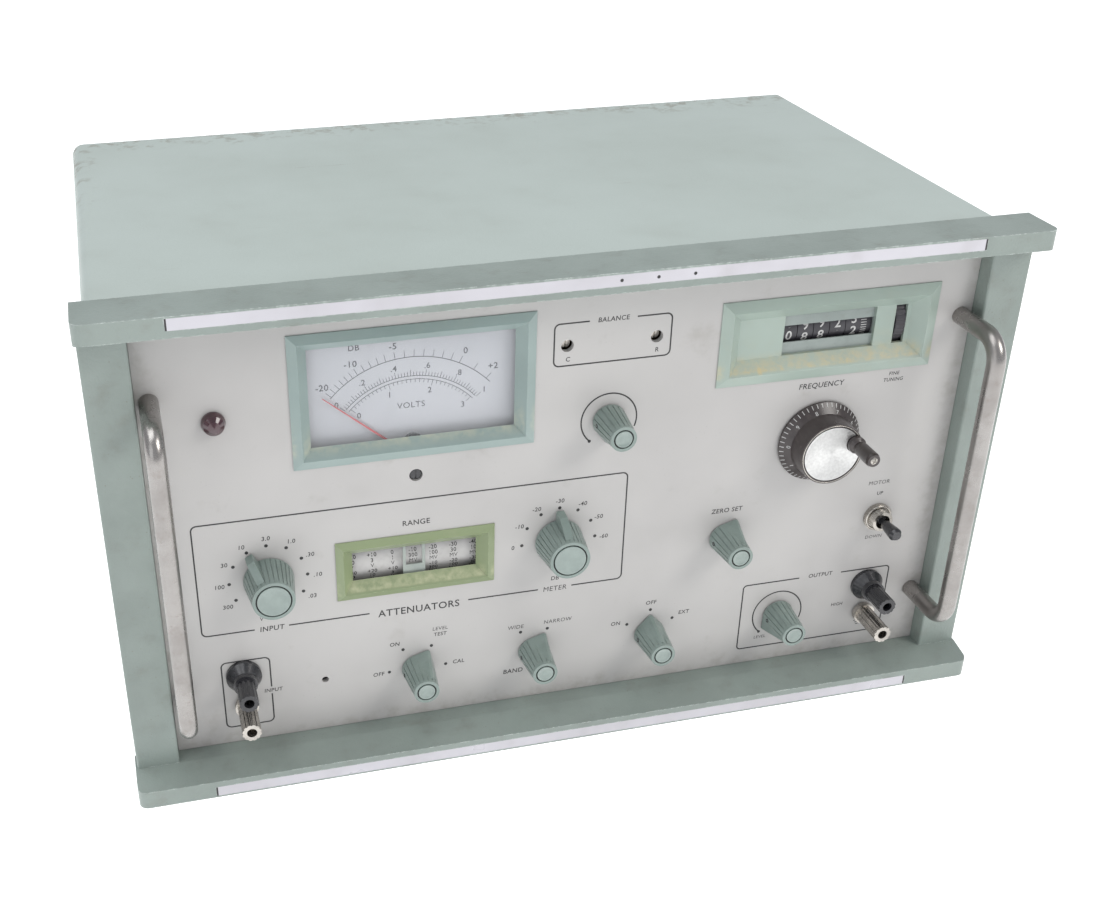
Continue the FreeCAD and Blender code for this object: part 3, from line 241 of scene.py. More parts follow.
# ---------------------------------------------------------------------- finishes
@dataclass(frozen=True)
class Finish:
    """A finish with drifting colour, fine grain, specks of dirt and worn edges."""

    name: str
    colour: Rgb
    drift: Rgb
    roughness: float
    metallic: float = 0.0
    coat: float = 0.0
    drift_size: float = 60 * MM
    grain_size: float = 0.6 * MM
    grain_depth: float = 0.02 * MM
    worn: Rgb = (0.7, 0.7, 0.7)
    wear: float = 0.0
    wear_width: float = 0.7 * MM
    dirt: float = 0.0
    dirt_colour: Rgb = (0.16, 0.13, 0.10)
    specks: float = 0.0

    def stains(self, shader: Shader) -> Optional[Field]:
        """Where this piece is dirtier than elsewhere; plain finishes have none."""
        return None

    def make(self) -> bpy.types.Material:
        """Build the material.

        Returns:
            The finished material.
        """
        shader = Shader(self.name)
        clouds = shader.noise(self.drift_size)
        colour = shader.blend(shader.ramp(clouds, 0.32, 0.68), self.colour, self.drift)
        grain = shader.noise(self.grain_size, 2.0)
        roughness = self.roughness + (clouds - 0.5) * 0.25
        if self.dirt:
            soil = shader.ramp(shader.noise(self.drift_size / 4, 8.0), 0.52, 0.80) * self.dirt
            extra = self.stains(shader)
            soil = soil if extra is None else shader.maths("MAXIMUM", soil, extra)
            colour = shader.blend(soil, colour, self.dirt_colour)
            roughness = roughness + soil * 0.3
        if self.specks:
            here = shader.ramp(shader.noise(18 * MM, 2.0), 0.50, 0.62)
            dots = shader.ramp(shader.cells(3.2 * MM), 0.12, 0.06) * here * self.specks
            colour = shader.blend(dots, colour, self.dirt_colour)
        if self.wear:
            patchy = shader.ramp(shader.noise(3.0 * MM, 4.0), 0.42, 0.66)
            rubbed = shader.ramp(shader.edges(self.wear_width), 0.02, 0.20) * patchy * self.wear
            colour = shader.blend(rubbed, colour, self.worn)
        return shader.finish({"Base Color": colour, "Roughness": roughness, "Metallic": self.metallic,
                              "Coat Weight": self.coat, "Coat Roughness": 0.2,
                              "Normal": shader.bump(grain, self.grain_depth)})


@dataclass(frozen=True)
class CabinetEnamel(Finish):
    """The case's enamel: grimy along the top's back and left edges, with scratches."""

    def stains(self, shader: Shader) -> Field:
        """Grime near the top's far edges, and thin scratches."""
        x, y, z = shader.position()
        low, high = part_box("case_shell")
        ragged = (shader.noise(22 * MM, 6.0) - 0.5) * 0.05
        behind = shader.ramp(y + ragged, high.y - 26 * MM, high.y - 2 * MM)
        beside = shader.ramp(x + ragged, low.x + 16 * MM, low.x + 1 * MM) * shader.ramp(y, 90 * MM, high.y)
        blotches = shader.ramp(shader.noise(7 * MM, 8.0), 0.48, 0.64)
        on_top = shader.ramp(z, high.z - 8 * MM, high.z - 2 * MM)
        grime = shader.maths("MAXIMUM", behind * 0.75, beside) * blotches * on_top * 0.8
        streaks = shader.ramp(shader.noise(5 * MM, 3.0, (0.12, 1.6, 1.0)), 0.69, 0.74)
        rare = shader.ramp(shader.noise(70 * MM, 2.0), 0.55, 0.68)
        return shader.maths("MAXIMUM", grime, streaks * rare * 0.35)


@dataclass(frozen=True)
class PanelEnamel(Finish):
    """The panel's enamel: hand grime near its edges and under the handles."""

    def stains(self, shader: Shader) -> Field:
        """Grime that fades in from the panel's sides and lower edge, with smudges."""
        x, _, z = shader.position()
        low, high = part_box("front_panel")
        ragged = (shader.noise(16 * MM, 6.0) - 0.5) * 0.03
        sides = shader.ramp(abs(x) + ragged, high.x - 13 * MM, high.x)
        foot = shader.ramp(z + ragged, low.z + 9 * MM, low.z)
        head = shader.ramp(z + ragged, high.z - 7 * MM, high.z) * 0.5
        smudge = shader.ramp(shader.noise(26 * MM, 8.0), 0.60, 0.78) * 0.22
        edge = shader.maths("MAXIMUM", shader.maths("MAXIMUM", sides, foot), head)
        blotches = shader.ramp(shader.noise(6 * MM, 8.0), 0.30, 0.75)
        return shader.maths("MAXIMUM", edge * blotches * 0.32, smudge)


@dataclass(frozen=True)
class BezelPlastic(Finish):
    """A moulded bezel whose lower bevel has gathered dust and whose corner is stained."""

    node: str = "meter_bezel"
    spot: Optional[tuple[float, float]] = None

    def stains(self, shader: Shader) -> Field:
        """Dust on the lower inner slope, and one round spot where it is given."""
        x, y, z = shader.position()
        low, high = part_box(self.node)
        rim = (high.z - low.z) * 0.14
        upper = shader.ramp(z, low.z + 2.6 * rim, low.z + rim)
        lower = shader.ramp(z, low.z + 0.5 * rim, low.z + rim)
        slope = upper * lower
        inner = shader.ramp(y, low.y + 0.3 * MM, low.y + 1.6 * MM)
        dust = slope * inner * shader.ramp(shader.noise(4 * MM, 6.0), 0.25, 0.8) * 0.85
        if self.spot is None:
            return dust
        across, up = x - self.spot[0], z - self.spot[1]
        away = shader.maths("SQRT", across * across + up * up)
        return shader.maths("MAXIMUM", dust, shader.ramp(away, 2.6 * MM, 0.6 * MM) * 0.8)


@dataclass(frozen=True)
class SpunMetal:
    """Bright metal with fine concentric tool marks round one place."""

    name: str
    centre: tuple[float, float]
    colour: Rgb = (0.66, 0.66, 0.65)
    pitch: float = 0.5 * MM
    depth: float = 0.03 * MM

    def make(self) -> bpy.types.Material:
        """Build the material.

        Returns:
            The finished material.
        """
        shader = Shader(self.name)
        x, _, z = shader.position()
        across, up = x - self.centre[0], z - self.centre[1]
        radius = shader.maths("SQRT", across * across + up * up)
        marks = shader.maths("SINE", radius * (2 * math.pi / self.pitch))
        uneven = shader.noise(1.5 * MM, 6.0)
        tone = shader.blend(shader.ramp(uneven, 0.3, 0.7), self.colour, tuple(c * 0.86 for c in self.colour))
        return shader.finish({"Base Color": tone, "Metallic": 1.0, "Roughness": 0.26 + uneven * 0.1,
                              "Normal": shader.bump(marks + uneven, self.depth)})


@dataclass(frozen=True)
class ClearSheet:
    """The meter's window: nearly clear, with a gloss and faint dust."""

    name: str = "window_glass"
    veil: float = 0.07

    def make(self) -> bpy.types.Material:
        """Build the material.

        Returns:
            The finished material.
        """
        shader = Shader(self.name)
        dust = shader.ramp(shader.noise(9 * MM, 7.0), 0.55, 0.85)
        return shader.finish({"Base Color": (0.93, 0.96, 0.97), "Roughness": 0.03 + dust * 0.3,
                              "Alpha": self.veil + dust * 0.05, "Specular IOR Level": 0.8})


CABINET = CabinetEnamel("cabinet_enamel", (0.420, 0.478, 0.450), (0.388, 0.440, 0.410), 0.48, coat=0.12,
                        drift_size=150 * MM, grain_size=1.5 * MM, grain_depth=0.16 * MM, wear=0.25,
                        worn=(0.62, 0.66, 0.64), dirt=0.06, dirt_colour=(0.22, 0.20, 0.165), specks=0.25)
RAIL = Finish("rail_enamel", (0.252, 0.297, 0.273), (0.220, 0.260, 0.238), 0.42, coat=0.2, drift_size=45 * MM,
              grain_size=1.4 * MM, grain_depth=0.2 * MM, wear=0.9, worn=(0.62, 0.68, 0.65),
              wear_width=0.9 * MM, dirt=0.20, specks=0.5)
PANEL = PanelEnamel("panel_enamel", (0.480, 0.470, 0.458), (0.425, 0.415, 0.406), 0.44, coat=0.1,
                    drift_size=170 * MM, grain_size=0.5 * MM, grain_depth=0.008 * MM, dirt=0.05,
                    dirt_colour=(0.20, 0.170, 0.135), specks=0.16, wear=0.3)
STRIP = Finish("strip_lacquer", (0.54, 0.53, 0.57), (0.48, 0.47, 0.50), 0.30, metallic=0.25, coat=0.3,
               drift_size=80 * MM, wear=0.4, worn=(0.3, 0.32, 0.31), dirt=0.10)
HANDLE = Finish("handle_satin", (0.350, 0.335, 0.322), (0.290, 0.274, 0.262), 0.28, metallic=0.9,
                drift_size=18 * MM, grain_size=0.5 * MM, grain_depth=0.012 * MM, dirt=0.16,
                dirt_colour=(0.200, 0.130, 0.095))
METER_RIM = BezelPlastic("meter_rim", (0.278, 0.352, 0.336), (0.242, 0.312, 0.298), 0.34, coat=0.25,
                         dirt=0.12, dirt_colour=(0.46, 0.47, 0.37), grain_depth=0.008 * MM, wear=0.35,
                         worn=(0.52, 0.62, 0.60), node="meter_bezel")
DISPLAY_RIM = BezelPlastic("display_rim", (0.340, 0.414, 0.366), (0.300, 0.368, 0.326), 0.36, coat=0.25,
                           dirt=0.14, dirt_colour=(0.56, 0.46, 0.24), grain_depth=0.008 * MM, wear=0.3,
                           worn=(0.62, 0.70, 0.66), node="display_bezel", spot=(99 * MM, 203 * MM))
RANGE_RIM = BezelPlastic("range_rim", (0.254, 0.308, 0.172), (0.230, 0.280, 0.155), 0.36, coat=0.25,
                         dirt=0.12, dirt_colour=(0.52, 0.52, 0.34), grain_depth=0.008 * MM, wear=0.3,
                         worn=(0.60, 0.68, 0.45), node="range_bezel")
CARD = Finish("meter_card", (0.478, 0.486, 0.520), (0.448, 0.456, 0.490), 0.55, drift_size=40 * MM,
              grain_size=0.2 * MM, grain_depth=0.002 * MM, dirt=0.04, specks=0.05)
NEEDLE = Finish("needle_red", (0.52, 0.035, 0.045), (0.45, 0.03, 0.04), 0.4, grain_depth=0.002 * MM)
# Black for print; on the knobs' recess floors it also paints the shade in the gaps round the buttons.
INK = Finish("ink_and_painted_shade", (0.022, 0.022, 0.024), (0.040, 0.038, 0.037), 0.55, drift_size=5 * MM,
             grain_depth=0.004 * MM)
FAINT_INK = Finish("scale_ink", (0.035, 0.035, 0.045), (0.06, 0.06, 0.07), 0.6, drift_size=6 * MM,
                   grain_depth=0.002 * MM)
WHITE_INK = Finish("figure_white", (0.60, 0.60, 0.59), (0.46, 0.46, 0.45), 0.5, drift_size=4 * MM,
                   grain_depth=0.004 * MM)
WHEEL = Finish("wheel_black", (0.050, 0.048, 0.056), (0.036, 0.034, 0.040), 0.42, drift_size=7 * MM,
               grain_depth=0.008 * MM, dirt=0.10, dirt_colour=(0.2, 0.19, 0.18))
MASK = Finish("mask_grey", (0.290, 0.330, 0.315), (0.250, 0.290, 0.275), 0.45, drift_size=18 * MM,
              grain_depth=0.01 * MM, dirt=0.12)
DRUM = Finish("drum_white", (0.62, 0.61, 0.60), (0.50, 0.49, 0.48), 0.5, drift_size=22 * MM,
              grain_depth=0.01 * MM, dirt=0.18, dirt_colour=(0.25, 0.23, 0.21))
CURSOR = Finish("cursor_grey", (0.36, 0.40, 0.37), (0.31, 0.35, 0.33), 0.45, drift_size=8 * MM,
                grain_depth=0.01 * MM, dirt=0.10)
KNOB = Finish("knob_plastic", (0.218, 0.274, 0.252), (0.184, 0.235, 0.214), 0.34, coat=0.3,
              drift_size=12 * MM, grain_depth=0.012 * MM, dirt=0.30,
              dirt_colour=(0.15, 0.175, 0.155), wear=0.45,
              worn=(0.52, 0.61, 0.57), wear_width=0.4 * MM)
INSERT = Finish("knob_insert", (0.240, 0.298, 0.274), (0.205, 0.258, 0.238), 0.16, coat=0.9,
                drift_size=7 * MM, grain_depth=0.006 * MM, dirt=0.10, dirt_colour=(0.25, 0.30, 0.27))
TUNING = Finish("tuning_phenolic", (0.030, 0.022, 0.022), (0.046, 0.036, 0.035), 0.32, coat=0.25,
                drift_size=15 * MM, grain_depth=0.012 * MM, dirt=0.25, dirt_colour=(0.14, 0.12, 0.105),
                wear=0.4, worn=(0.22, 0.20, 0.19), wear_width=0.4 * MM)
NICKEL = Finish("dull_nickel", (0.52, 0.49, 0.45), (0.40, 0.38, 0.35), 0.25, metallic=0.95, drift_size=8 * MM,
                grain_depth=0.004 * MM, dirt=0.22, dirt_colour=(0.12, 0.10, 0.08))
POST_BLACK = Finish("post_phenolic", (0.014, 0.014, 0.017), (0.028, 0.028, 0.032), 0.24, coat=0.35,
                    drift_size=14 * MM, grain_depth=0.004 * MM, dirt=0.14, dirt_colour=(0.10, 0.095, 0.095),
                    wear=0.35, worn=(0.22, 0.22, 0.23), wear_width=0.4 * MM)
LAMP = Finish("lamp_lens", (0.030, 0.003, 0.009), (0.050, 0.006, 0.015), 0.07, coat=1.0, drift_size=4 * MM,
              grain_depth=0.003 * MM, dirt=0.06, dirt_colour=(0.15, 0.10, 0.10))
STEEL = Finish("plated_steel", (0.46, 0.47, 0.48), (0.38, 0.38, 0.38), 0.38, metallic=0.85,
               drift_size=25 * MM, grain_depth=0.01 * MM, dirt=0.15)
BOARD = Finish("board_laminate", (0.22, 0.125, 0.050), (0.18, 0.10, 0.04), 0.5, drift_size=12 * MM, dirt=0.1)
RUBBER = Finish("foot_rubber", (0.035, 0.034, 0.033), (0.055, 0.053, 0.050), 0.75, drift_size=6 * MM,
                dirt=0.3)

DRESS: dict[str, object] = {
    "case_shell": CABINET, "rear_cover": CABINET, "rear_cover_screws": STEEL, "rear_feet": RUBBER,
    "crown_rail": RAIL, "sill_rail": RAIL, "left_post": RAIL, "right_post": RAIL, "rail_strips": STRIP,
    "front_panel": PANEL, "chassis_tray": STEEL, "left_handle": HANDLE, "right_handle": HANDLE,
    "meter_bezel": METER_RIM, "meter_case": POST_BLACK, "meter_glass": ClearSheet(), "meter_scale": CARD,
    "meter_needle": NEEDLE, "zero_adjuster": POST_BLACK, "display_bezel": DISPLAY_RIM, "counter_frame": MASK,
    "fine_tuning_wheel": WHEEL, "range_bezel": RANGE_RIM, "range_drum": DRUM, "drum_frame": STEEL,
    "range_cursor": CURSOR, "tuning_knob": TUNING, "crank_handle": TUNING, "tuning_shaft": STEEL,
    "drive_motor": STEEL, "knob_bushings": NICKEL, "rotary_switches": STEEL, "potentiometers": STEEL,
    "toggle_body": NICKEL, "toggle_lever": POST_BLACK, "cap_trimmer": NICKEL, "res_trimmer": NICKEL,
    "input_post_cap": POST_BLACK, "output_post_cap": POST_BLACK, "input_ground_cap": NICKEL,
    "output_ground_cap": NICKEL, "post_collars": POST_BLACK, "post_studs": NICKEL, "pilot_lamp": LAMP,
    "circuit_board": BOARD, "power_transformer": STEEL, "power_inlet": POST_BLACK,
}
DIGIT_WHEELS = [f"counter_wheel_{i}" for i in range(1, 6)]
LARGE_KNOBS = ["input_attenuator_knob", "meter_attenuator_knob"]
SMALL_KNOBS = ["balance_knob", "zero_set_knob", "function_knob", "band_knob", "afc_knob", "output_level_knob"]


# ----------------------------------------------------------------- bench helpers
class Paintbox:
    """Keeps one material for each finish."""

    made: dict[str, bpy.types.Material] = {}

    @classmethod
    def of(cls, finish: object) -> bpy.types.Material:
        """The finish's material, built the first time that it is asked for."""
        if finish.name not in cls.made:
            cls.made[finish.name] = finish.make()
        return cls.made[finish.name]


def deselect() -> None:
    """Leave nothing selected."""
    for thing in bpy.context.selected_objects:
        thing.select_set(False)


def pick(piece: bpy.types.Object) -> bpy.types.Object:
    """Select one object alone and make it active."""
    deselect()
    piece.select_set(True)
    bpy.context.view_layer.objects.active = piece
    return piece


def name_it(name: str) -> bpy.types.Object:
    """Name the object that was just added."""
    piece = bpy.context.active_object
    piece.name = name
    piece.data.name = name
    return piece


def settle(piece: bpy.types.Object) -> bpy.types.Object:
    """Put an object's place into its mesh, so that it stands at the origin."""
    pick(piece)
    bpy.ops.object.transform_apply(location=True, rotation=True, scale=True)
    return piece


def select_faces(test: Callable[[Vector, Vector], bool]) -> int:
    """Select, in edit mode, the faces whose middle and normal pass a test.

    Args:
        test: Takes a face's middle and its normal.

    Returns:
        How many faces were selected.
    """
    piece = bpy.context.active_object
    mesh = bmesh.from_edit_mesh(piece.data)
    count = 0
    for face in mesh.faces:
        face.select_set(False)
    for face in mesh.faces:
        if test(face.calc_center_median(), face.normal):
            face.select_set(True)
            count += 1
    mesh.select_flush_mode()
    bmesh.update_edit_mesh(piece.data)
    return count


def use(piece: bpy.types.Object, kind: str, **settings: object) -> bpy.types.Object:
    """Add a modifier, set it and apply it."""
    pick(piece)
    modifier = piece.modifiers.new(kind.lower(), kind)
    for key, value in settings.items():
        setattr(modifier, key, value)
    bpy.ops.object.modifier_apply(modifier=modifier.name)
    return piece


def join(pieces: list[bpy.types.Object], name: str) -> bpy.types.Object:
    """Make one object of several.

    Args:
        pieces: What to join.
        name: The joined object's name.

    Returns:
        The joined object.
    """
    deselect()
    for piece in pieces:
        piece.select_set(True)
    bpy.context.view_layer.objects.active = pieces[0]
    if len(pieces) > 1:
        bpy.ops.object.join()
    return name_it(name)


def copies(piece: bpy.types.Object, moves: Iterable[Matrix]) -> list[bpy.types.Object]:
    """Copy a settled piece, each copy with its own mesh moved by a matrix.

    Args:
        piece: The pattern, which is used up.
        moves: Where each copy goes.

    Returns:
        The copies.
    """
    made = []
    for move in moves:
        twin = piece.copy()
        twin.data = piece.data.copy()
        twin.data.transform(move)
        bpy.context.scene.collection.objects.link(twin)
        made.append(twin)
    bpy.data.objects.remove(piece)
    return made


def turned(angle: float, x: float, z: float) -> Matrix:
    """A turn about the Y axis through a place, clockwise as seen from the front."""
    centre = Matrix.Translation((x, 0, z))
    return centre @ Matrix.Rotation(math.radians(angle), 4, "Y") @ centre.inverted()


def hand_in(piece: bpy.types.Object, body: str, finish: object) -> bpy.types.Object:
    """Paint a finished piece and let it move with its body.

    Args:
        piece: The settled piece.
        body: The CAD body that it moves with.
        finish: Its finish.

    Returns:
        The piece.
    """
    piece.data.materials.clear()
    piece.data.materials.append(Paintbox.of(finish))
    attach(piece, body)
    LOG.info("%s: %d faces, on %s", piece.name, len(piece.data.polygons), body)
    return piece


def smooth(piece: bpy.types.Object, angle: float = 35.0) -> bpy.types.Object:
    """Shade a piece smooth except over sharp edges."""
    pick(piece)
    bpy.ops.object.shade_smooth_by_angle(angle=math.radians(angle))
    return piece


# -------------------------------------------------------------- printed legends
FACING_FRONT = (math.pi / 2, 0.0, 0.0)
INK_DEPTH = 0.03 * MM
CAP_SHARE = 0.70
STROKE_GAIN = 0.018
# Letters whose strokes would run into each other if they were thickened.
SHARP_LETTERS = set("MWV")


@dataclass(frozen=True)
class Label:
    """A word or figure: its middle and its capitals' height, in millimetres."""

    text: str
    x: float
    z: float
    cap: float = 2.4
    slant: float = 0.10


def lettering(label: Label, y: float) -> bpy.types.Object:
    """One label as a thin solid that faces the front.

    Args:
        label: What it says and where.
        y: The depth of the surface that it is printed on, in metres.

    Returns:
        A settled mesh.
    """
    deselect()
    bpy.ops.object.text_add(location=(label.x * MM, y, (label.z - label.cap / 2) * MM), rotation=FACING_FRONT)
    words = bpy.context.active_object
    words.data.body = label.text
    words.data.size = label.cap * MM / CAP_SHARE
    words.data.shear = label.slant
    if not SHARP_LETTERS & set(label.text):
        words.data.offset = label.cap * MM * STROKE_GAIN
    words.data.align_x = "CENTER"
    words.data.extrude = INK_DEPTH
    words.data.resolution_u = 3
    words.data.space_character = 1.08
    bpy.ops.object.convert(target="MESH")
    return settle(bpy.context.active_object)


def around(x: float, z: float, radius: float, angle: float) -> tuple[float, float]:
    """A place round a centre, at an angle in degrees clockwise from upright."""
    turn = math.radians(angle)
    return x + radius * math.sin(turn), z + radius * math.cos(turn)


def plate(place: Place, width: float, height: float, rotation: Place = FACING_FRONT,
          thickness: float = INK_DEPTH) -> bpy.types.Object:
    """A thin printed rectangle; sizes in metres."""
    deselect()
    bpy.ops.mesh.primitive_plane_add(size=1, location=place, rotation=rotation)
    piece = bpy.context.active_object
    piece.scale = (width, height, 1)
    return use(settle(piece), "SOLIDIFY", thickness=thickness, offset=1)


def cylinder(place: Place, radius: float, depth: float, sides: int,
             rotation: Place = FACING_FRONT) -> bpy.types.Object:
    """A settled cylinder; sizes in metres."""
    deselect()
    bpy.ops.mesh.primitive_cylinder_add(vertices=sides, radius=radius, depth=depth, location=place,
                                        rotation=rotation)
    return settle(bpy.context.active_object)


def cut_away(piece: bpy.types.Object, tool: bpy.types.Object) -> None:
    """Cut a tool's shape out of a piece; the tool is used up."""
    use(piece, "BOOLEAN", object=tool, operation="DIFFERENCE", solver="EXACT")
    bpy.data.objects.remove(tool)


def is_front(_: Vector, normal: Vector) -> bool:
    """Whether a face looks straight to the front."""
    return normal.y < -0.9


def disc(x: float, z: float, radius: float, y: float, sides: int = 20) -> bpy.types.Object:
    """A thin printed dot that faces the front; places in metres."""
    deselect()
    bpy.ops.mesh.primitive_circle_add(vertices=sides, radius=radius, fill_type="NGON", location=(x, y, z),
                                      rotation=FACING_FRONT)
    return use(settle(bpy.context.active_object), "SOLIDIFY", thickness=INK_DEPTH, offset=1)


def hollow_out(line: float) -> None:
    """Leave only a line's width of the flat face that is being edited."""
    bpy.ops.mesh.inset(thickness=line)
    bpy.ops.mesh.delete(type="FACE")


def rounded_box(left: float, right: float, low: float, high: float, y: float, gaps: list[tuple[float, float]],
                corner: float = 3.2, line: float = 0.8) -> bpy.types.Object:
    """A printed outline with round corners, broken where words stand.

    Args:
        left: The left side, in millimetres as all the other sizes.
        right: The right side.
        low: The bottom side.
        high: The top side.
        y: The panel's face, in metres.
        gaps: Rectangles that the outline leaves free, as (middle x, middle z, width, height).
        corner: The corners' radius.
        line: The line's width.

    Returns:
        A settled mesh.
    """
    deselect()
    bpy.ops.mesh.primitive_plane_add(size=1, location=((left + right) / 2 * MM, y, (low + high) / 2 * MM),
                                     rotation=FACING_FRONT)
    piece = bpy.context.active_object
    piece.scale = ((right - left) * MM, (high - low) * MM, 1)
    settle(piece)
    bpy.ops.object.mode_set(mode="EDIT")
    bpy.ops.mesh.select_all(action="SELECT")
    bpy.ops.mesh.bevel(affect="VERTICES", offset=corner * MM, segments=6)
    bpy.ops.mesh.select_all(action="SELECT")
    hollow_out(line * MM)
    for x, z, width, height in gaps:
        for across, up, side in ((-width / 2, 0, Axis.X), (width / 2, 0, Axis.X),
                                 (0, -height / 2, Axis.Z), (0, height / 2, Axis.Z)):
            bpy.ops.mesh.select_all(action="SELECT")
            bpy.ops.mesh.bisect(plane_co=((x + across) * MM, y, (z + up) * MM), plane_no=side.value)
        found = select_faces(lambda middle, _: abs(middle.x - x * MM) < width / 2 * MM
                             and abs(middle.z - z * MM) < height / 2 * MM)
        if found:
            bpy.ops.mesh.delete(type="FACE")
    bpy.ops.object.mode_set(mode="OBJECT")
    return use(piece, "SOLIDIFY", thickness=INK_DEPTH, offset=1)


def arc_line(x: float, z: float, radius: float, y: float, start: float, end: float,
             line: float = 0.5) -> bpy.types.Object:
    """A printed arc.

    Args:
        x: Its centre, in millimetres as its radius and line.
        z: Its centre's height.
        radius: Its outer radius.
        y: The surface, in metres.
        start: Where it starts, in degrees clockwise from upright.
        end: Where it ends.
        line: Its width.

    Returns:
        A settled mesh.
    """
    deselect()
    bpy.ops.mesh.primitive_circle_add(vertices=120, radius=radius * MM, fill_type="NGON",
                                      location=(x * MM, y, z * MM), rotation=FACING_FRONT)
    piece = settle(bpy.context.active_object)
    bpy.ops.object.mode_set(mode="EDIT")
    bpy.ops.mesh.select_all(action="SELECT")
    hollow_out(line * MM)

    def outside(middle: Vector, _: Vector) -> bool:
        """Whether a stretch of the ring lies beyond the arc."""
        angle = math.degrees(math.atan2(middle.x - x * MM, middle.z - z * MM))
        return not start < angle < end

    if select_faces(outside):
        bpy.ops.mesh.delete(type="FACE")
    bpy.ops.object.mode_set(mode="OBJECT")
    return use(piece, "SOLIDIFY", thickness=INK_DEPTH, offset=1)


def tick_ring(x: float, z: float, inner: float, outer: float, y: float, angles: Iterable[float],
              line: float = 0.28) -> list[bpy.types.Object]:
    """Straight marks round a centre, between two radii in millimetres."""
    middle = (z + (inner + outer) / 2) * MM
    tick = plate((x * MM, y, middle), line * MM, (outer - inner) * MM)
    return copies(tick, [turned(angle, x * MM, z * MM) for angle in angles])


@dataclass
class PanelLegends:
    """Everything printed on the front panel: outlines, words, figures and switch dots."""

    y: float = field(default_factory=lambda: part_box("front_panel")[0].y)
    dot: float = 0.95 * MM

    def words(self) -> list[Label]:
        """The plain words beside the controls."""
        return [
            Label("ATTENUATORS", -83.5, 84.3, 4.2, 0.0), Label("INPUT", -162.5, 85.0, 3.0),
            Label("METER", -7.8, 84.9, 3.0), Label("RANGE", -84.3, 138.2, 3.0, 0.0),
            Label("V", -167.6, 91.6), Label("DB", -8.0, 91.5),
            Label("BALANCE", 17.6, 240.5, 2.5), Label("C", -5.6, 221.0), Label("R", 41.4, 221.2),
            Label("FREQUENCY", 136.0, 190.3, 3.0), Label("FINE", 178.0, 192.2, 2.0),
            Label("TUNING", 178.0, 188.6, 2.0), Label("MOTOR", 180.0, 125.0, 2.4),
            Label("UP", 181.5, 117.9, 2.1), Label("DOWN", 181.9, 89.4, 2.1),
            Label("ZERO SET", 89.4, 120.2, 2.7),
            Label("OFF", -106.8, 44.6), Label("ON", -97.5, 63.0), Label("LEVEL", -72.2, 69.4, 2.2),
            Label("TEST", -72.2, 65.7, 2.2), Label("CAL", -62.0, 45.6),
            Label("WIDE", -29.5, 62.6), Label("NARROW", -5.4, 63.2), Label("BAND", -30.6, 33.2, 2.8),
            Label("OFF", 49.2, 66.0), Label("ON", 28.8, 55.0), Label("EXT", 69.4, 56.4),
            Label("OUTPUT", 152.0, 68.2, 2.5), Label("LEVEL", 118.5, 30.6, 1.9),
            Label("HIGH", 165.4, 45.6, 2.0), Label("INPUT", -164.4, 45.0, 2.3),
        ]

    def round_figures(self, x: float, z: float, radius: float, angles: list[float], texts: list[str],
                      cap: float = 2.4) -> list[Label]:
        """Figures set round a switch, one outside each of its dots."""
        return [Label(text, *around(x, z, radius, angle), cap) for angle, text in zip(angles, texts)]

    def outlines(self) -> list[bpy.types.Object]:
        """The four outlines, the two turning arcs with their dots, and the earth marks."""
        y = self.y
        arcs = []
        for x, z in ((18.0, 184.4), (127.7, 45.5)):
            arcs.append(arc_line(x, z, 15.4, y, -138, 112, 0.8))
            dot_x, dot_z = around(x, z, 15.1, -138)
            arcs.append(disc(dot_x * MM, dot_z * MM, 0.9 * MM, y))
        earth = []
        for x in (-182.0, 180.4):
            for i, half in enumerate((2.3, 1.5, 0.8)):
                earth.append(self.bar(x - half, x + half, 31.8 - 1.3 * i))
        return [
            rounded_box(-199.2, 30.7, 84.9, 152.3, y, [(-83.5, 84.9, 54, 4), (-162.5, 84.9, 18, 4),
                                                      (-7.8, 84.9, 19, 4)]),
            rounded_box(-13.3, 49.0, 217.1, 240.7, y, [(17.6, 240.7, 25, 4)]),
            rounded_box(104.5, 195.9, 23.4, 68.2, y, [(152.0, 68.2, 26, 4)], 2.6),
            rounded_box(-191.2, -164.8, 23.8, 67.2, y, [(-164.8, 45.0, 4, 4.5)]),
            *arcs, *earth,
        ]

    def bar(self, left: float, right: float, z: float) -> bpy.types.Object:
        """One short level line of an earth mark."""
        return plate(((left + right) / 2 * MM, self.y, z * MM), (right - left) * MM, 0.45 * MM)

    def build(self) -> None:
        """Print the panel."""
        wide = [-120.0 + 30 * i for i in range(9)]
        narrow = [-90.0 + 30 * i for i in range(7)]
        switches = [
            (-162.2, 115.4, 20.2, wide), (-6.7, 115.0, 20.4, narrow), (-85.0, 45.0, 15.8, [-90, -30, 30, 90]),
            (49.2, 45.5, 15.6, [-60, 0, 60]), (-18.9, 45.4, 15.4, [-30, 30]),
        ]
        places = [around(x, z, radius, angle) for x, z, radius, angles in switches for angle in angles]
        dots = [disc(x * MM, z * MM, self.dot, self.y) for x, z in places]
        labels = self.words()
        labels += self.round_figures(-162.2, 114.5, 25.4, wide,
                                     ["300", "100", "30", "10", "3.0", "1.0", ".30", ".10", ".03"])
        labels += self.round_figures(-6.7, 114.3, 25.4, narrow,
                                     ["0", "-10", "-20", "-30", "-40", "-50", "-60"])
        words = [lettering(label, self.y) for label in labels]
        hand_in(join(dots, "switch_dots"), "root", INK)
        hand_in(join(words, "panel_words"), "root", INK)
        hand_in(join(self.outlines(), "panel_outlines"), "root", INK)


